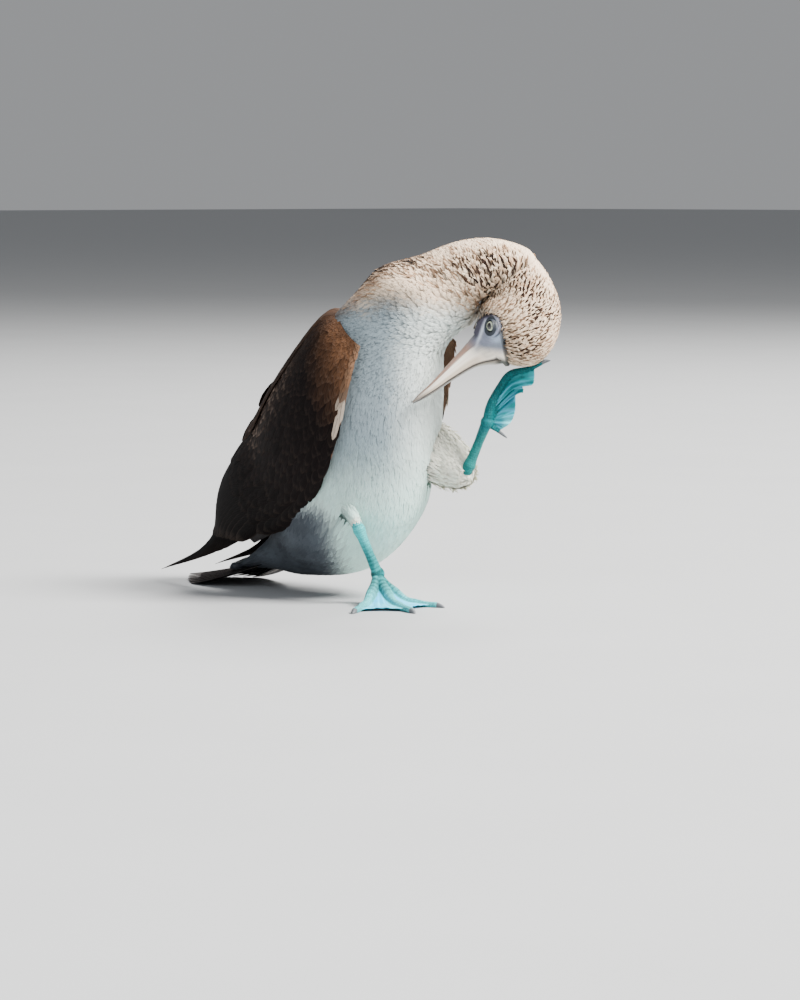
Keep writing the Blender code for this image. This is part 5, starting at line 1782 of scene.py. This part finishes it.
class BOOBY_OT_feet(BoobyStep, bpy.types.Operator):
    """Makes each bare leg as one skin over shank, toes and webs, and the claws."""

    bl_idname = "booby.feet"
    bl_label = "Legs, feet and claws"

    def execute(self, context):
        sizes, colours = self.settings(context)
        standing = [standing_toe(row) for row in STANDING_TOES]
        raised = [raised_toe(row) for row in RAISED_TOES]
        right = {"ankle": ANKLE_RIGHT, "joint": JOINT_RIGHT, "toes": standing, "knuckle": 7.2}
        self.leg("right", sizes, colours, **right, droop=-1.5, way=UP, pleats=0.35)
        left = {"ankle": ANKLE_LEFT, "joint": JOINT_LEFT, "toes": raised, "knuckle": 6.6}
        self.leg("left", sizes, colours, **left, droop=14, way=unit([0.75, 0.25, -0.6]), pleats=1.5)
        self.claws("right", standing, (0, 0, -1.0))
        self.claws("left", raised, (0.6, 0.2, -0.7))
        return {"FINISHED"}

    def leg(self, name, sizes, colours, ankle, joint, toes, knuckle, droop, way, pleats):
        """One skin over the shank, its two knuckles, the toes and the webs, which droop along the given way; the
        tint depends on the distance from the toes' and the shank's middle lines, and carries painted shade in the
        creases and, on the standing leg, painted highlights on its lit side and the toes' tops."""
        share = np.linspace(0, 1, 40)
        radii = np.interp(share, [0, 0.1, 0.25, 0.6, 0.85, 1], [5.6, 6.6, 5.2, 4.7, 5.4, 5.8])
        shank = ankle + share[:, None] * (joint - ankle)
        parts = [tube(round_rings(shank, radii, 24)), ball(joint, knuckle), ball(ankle, 5.8)]
        parts += [tube(round_rings(path, size, 20)) for path, size in toes]
        thickness = 1000 * sizes.web_thickness
        for near, far in zip(toes, toes[1:]):
            parts.append(web(near[0], far[0], droop, way, thickness, pleats))
        mesh = remeshed("leg_" + name, parts, 0.62, 3)
        points = read_points(mesh)
        if name == "right":
            points[:, 2] = np.maximum(points[:, 2], FLAT)
            mesh.vertices.foreach_set("co", metres(points).ravel())
        lines = np.concatenate([path for path, _ in toes] + [shank])
        widths = np.concatenate([size for _, size in toes] + [radii])
        away = np.full(len(points), 1e9)
        for centre, size in zip(lines[::3], widths[::3]):
            away = np.minimum(away, np.linalg.norm(points - centre, axis=1) - size * 1.15)
        webbed = ease(0.0, 2.2, away)
        spoke = points - joint
        distance = np.linalg.norm(spoke, axis=1)
        side = unit(np.cross(toes[2][0][-1] - joint, UP))
        fan = np.arctan2(spoke @ side, spoke @ unit(toes[2][0][-1] - joint))
        foot, teal = colours.foot, colours.teal
        pale = np.array([0.22, 0.92, 1.0])
        patches = 0.5 + 0.5 * fractal(points, 14, 62)
        if name == "right":
            # Painted highlights: the standing leg's lit side and the tops of its toes are made paler.
            tint = toward(foot, pale, 0.35 * ease(-4, 6, spoke @ side))
            painted_highlight = (1 - webbed) * ease(40, 12, points[:, 2]) * ease(0.2, 0.9, np.clip(patches + 0.35, 0, 1))
            outer = ease(20, 62, distance) * np.clip(0.1 + 0.6 * patches, 0, 1)
            web_tint = toward(np.array([0.0, 0.44, 0.84]), pale, outer)
            tint = toward(toward(tint, pale, 0.7 * painted_highlight), web_tint, webbed)
            # Painted shade in the creases between toes and webs, near the joint.
            tint = tint * (1 - 0.75 * bell(away, 1.1) * ease(44, 14, distance))[:, None]
        else:
            stripes = 0.5 + 0.5 * np.sin(fan * 52 + 2 * patches)
            # Painted shade: the raised foot starts from the darker teal.
            tint = toward(teal, foot * 0.6, 0.15 * webbed * stripes + 0.2 * patches)
            tint = toward(tint, (0.06, 0.30, 0.44), 0.75 * webbed * stripes)
            low = webbed * ease(14, 2, spoke[:, 2] + 4) * ease(13, 22, distance)
            tint = toward(tint, pale * 0.8, 0.75 * low)
            narrowed = unit(spoke - 0.5 * (spoke @ side)[:, None] * side)
            edge = ease(0.2, 0.9, narrowed @ np.array([-0.6, 0, 0.2]))
            tint = toward(tint, pale * 0.5, 0.2 * edge * (1 - webbed) * ease(4, 14, -spoke[:, 2]))
            under = (1 - webbed) * ease(6, 20, -spoke[:, 2]) * (0.3 + 0.4 * patches)
            tint = toward(tint, (0.02, 0.42, 0.38), under)
        tint = tint * (1 + 0.14 * fractal(points, 9, 61))[:, None]
        # Painted shade in the creases between toes and webs.
        crease_shade = bell(away, 0.9) * ease(8, 20, distance)
        tint = tint * (1 - 0.35 * crease_shade[:, None])
        put_tint(mesh, tint)
        put_values(mesh, "Web", webbed)
        put_map(mesh, "Fan", pairs(fan * 16, distance * 0.03))
        mesh.shade_smooth()
        piece("leg_" + name, mesh, "Foot skin", ("shank_" + name, "foot_" + name))

    def claws(self, name, toes, bend):
        """Curved horns that go on from the toes' ends, thinning by a rounded taper."""
        bend = unit(bend)
        parts = []
        for path, radii in toes:
            ahead = unit(path[-1] - path[-3])
            run = np.linspace(0, 1, 18)[:, None]
            line = path[-1] + ahead * (CLAW_GAP - 1.2 + CLAW_LENGTH * run) + bend * (2.6 * run**2)
            size = radii[-1] * 0.86 * np.sqrt(1 - run[:, 0] ** 1.6) + 0.12
            rings = round_rings(line, size, 14)
            if name == "right":
                rings[..., 2] = np.maximum(rings[..., 2], FLAT)
            parts.append(tube(rings))
        nodes = [f"claw_{name}_{toe}" for toe in TOE_NAMES]
        piece("claws_" + name, joined("claws_" + name, parts), "Claw horn", nodes)


def direction(turn, tilt):
    """The way from the bird to a light or the camera: turned round it from -Y, and tilted upward."""
    return Vector((math.sin(turn) * math.cos(tilt), -math.cos(turn) * math.cos(tilt), math.sin(tilt)))


class BOOBY_OT_stage(BoobyStep, bpy.types.Operator):
    """Sets the pale floor, the soft lights and the camera at the photograph's viewing angle."""

    bl_idname = "booby.stage"
    bl_label = "Stage"

    def execute(self, context):
        settings = context.scene.booby_stage
        reach = 60.0
        points = np.array([[-reach, -reach, 0], [reach, -reach, 0], [reach, reach, 0], [-reach, reach, 0]])
        mesh = bpy.data.meshes.new("floor")
        mesh.from_pydata(points.tolist(), [], [(0, 1, 2, 3)])
        floor = placed("floor", mesh)
        tree, shader = new_finish("Studio floor", 0.8)
        place = own_place(tree)
        cloud = noise(place, 5.0, 4.0)
        low, high = (np.array(settings.floor) * share for share in (0.96, 1.04))
        tree.links.new(blend_colours(cloud, low, high), shader.inputs["Base Color"])
        mesh.materials.append(bpy.data.materials["Studio floor"])
        world = bpy.data.worlds.new("studio")
        context.scene.world = world
        world.use_nodes = True
        world.node_tree.nodes["Background"].inputs[0].default_value = (0.95, 0.97, 1.0, 1.0)
        world.node_tree.nodes["Background"].inputs[1].default_value = 0.34
        far = settings.key_power * 9
        for name, turn, tilt, distance, size, power, colour in (
            ("key", 112, 46, 6.6, 2.7, far, (1.0, 0.97, 0.93)),
            ("fill", 20, 25, 2.6, 1.8, settings.key_power * 0.12, (0.90, 0.95, 1.0)),
            ("rim", 200, 45, 6.6, 2.7, far * 0.35, (1.0, 0.98, 0.95)),
        ):
            light = bpy.data.lights.new(name, "AREA")
            light.energy, light.size, light.color = power, size, colour
            lamp = placed(name, light)
            ray = direction(math.radians(turn), math.radians(tilt))
            lamp.location = ray * distance + AIM
            lamp.rotation_euler = ray.to_track_quat("Z", "Y").to_euler()
        lens = bpy.data.cameras.new("view")
        lens.lens, lens.sensor_width, lens.clip_start = LENS, SENSOR, 0.05
        camera = placed("view", lens)
        right = Vector((math.cos(settings.turn), math.sin(settings.turn), 0))
        back = direction(settings.turn, settings.tilt)
        turned = Matrix((right, back.cross(right), back)).transposed().to_4x4()
        camera.matrix_world = Matrix.Translation(CAMERA_PLACE) @ turned
        context.scene.camera = camera
        return {"FINISHED"}


STEPS = (
    BOOBY_OT_finishes,
    BOOBY_OT_skin,
    BOOBY_OT_head_coat,
    BOOBY_OT_body_coat,
    BOOBY_OT_thigh_coat,
    BOOBY_OT_mantle_coat,
    BOOBY_OT_wings,
    BOOBY_OT_tail,
    BOOBY_OT_eyes,
    BOOBY_OT_bill,
    BOOBY_OT_feet,
    BOOBY_OT_stage,
)


class BOOBY_PT_panel(bpy.types.Panel):
    """Lists the steps of the model and its settings."""

    bl_label = "Booby"
    bl_idname = "BOOBY_PT_panel"
    bl_space_type = "VIEW_3D"
    bl_region_type = "UI"
    bl_category = "Booby"

    def draw(self, context):
        for step in STEPS:
            self.layout.operator(step.bl_idname)
        for settings in (context.scene.booby_sizes, context.scene.booby_colours, context.scene.booby_stage):
            column = self.layout.column()
            for key in settings.__annotations__:
                column.prop(settings, key)


CLASSES = (BoobySizes, BoobyColours, BoobyStage, *STEPS, BOOBY_PT_panel)


def register():
    for made in CLASSES:
        bpy.utils.register_class(made)
    bpy.types.Scene.booby_sizes = PointerProperty(type=BoobySizes)
    bpy.types.Scene.booby_colours = PointerProperty(type=BoobyColours)
    bpy.types.Scene.booby_stage = PointerProperty(type=BoobyStage)


def unregister():
    for name in ("booby_sizes", "booby_colours", "booby_stage"):
        delattr(bpy.types.Scene, name)
    for made in reversed(CLASSES):
        bpy.utils.unregister_class(made)


def main():
    register()
    bpy.ops.booby.finishes()
    bpy.ops.booby.skin()
    bpy.ops.booby.head_coat()
    bpy.ops.booby.body_coat()
    bpy.ops.booby.thigh_coat()
    bpy.ops.booby.mantle_coat()
    bpy.ops.booby.wings()
    bpy.ops.booby.tail()
    bpy.ops.booby.eyes()
    bpy.ops.booby.bill()
    bpy.ops.booby.feet()
    bpy.ops.booby.stage()


if __name__ == "__main__":
    main()
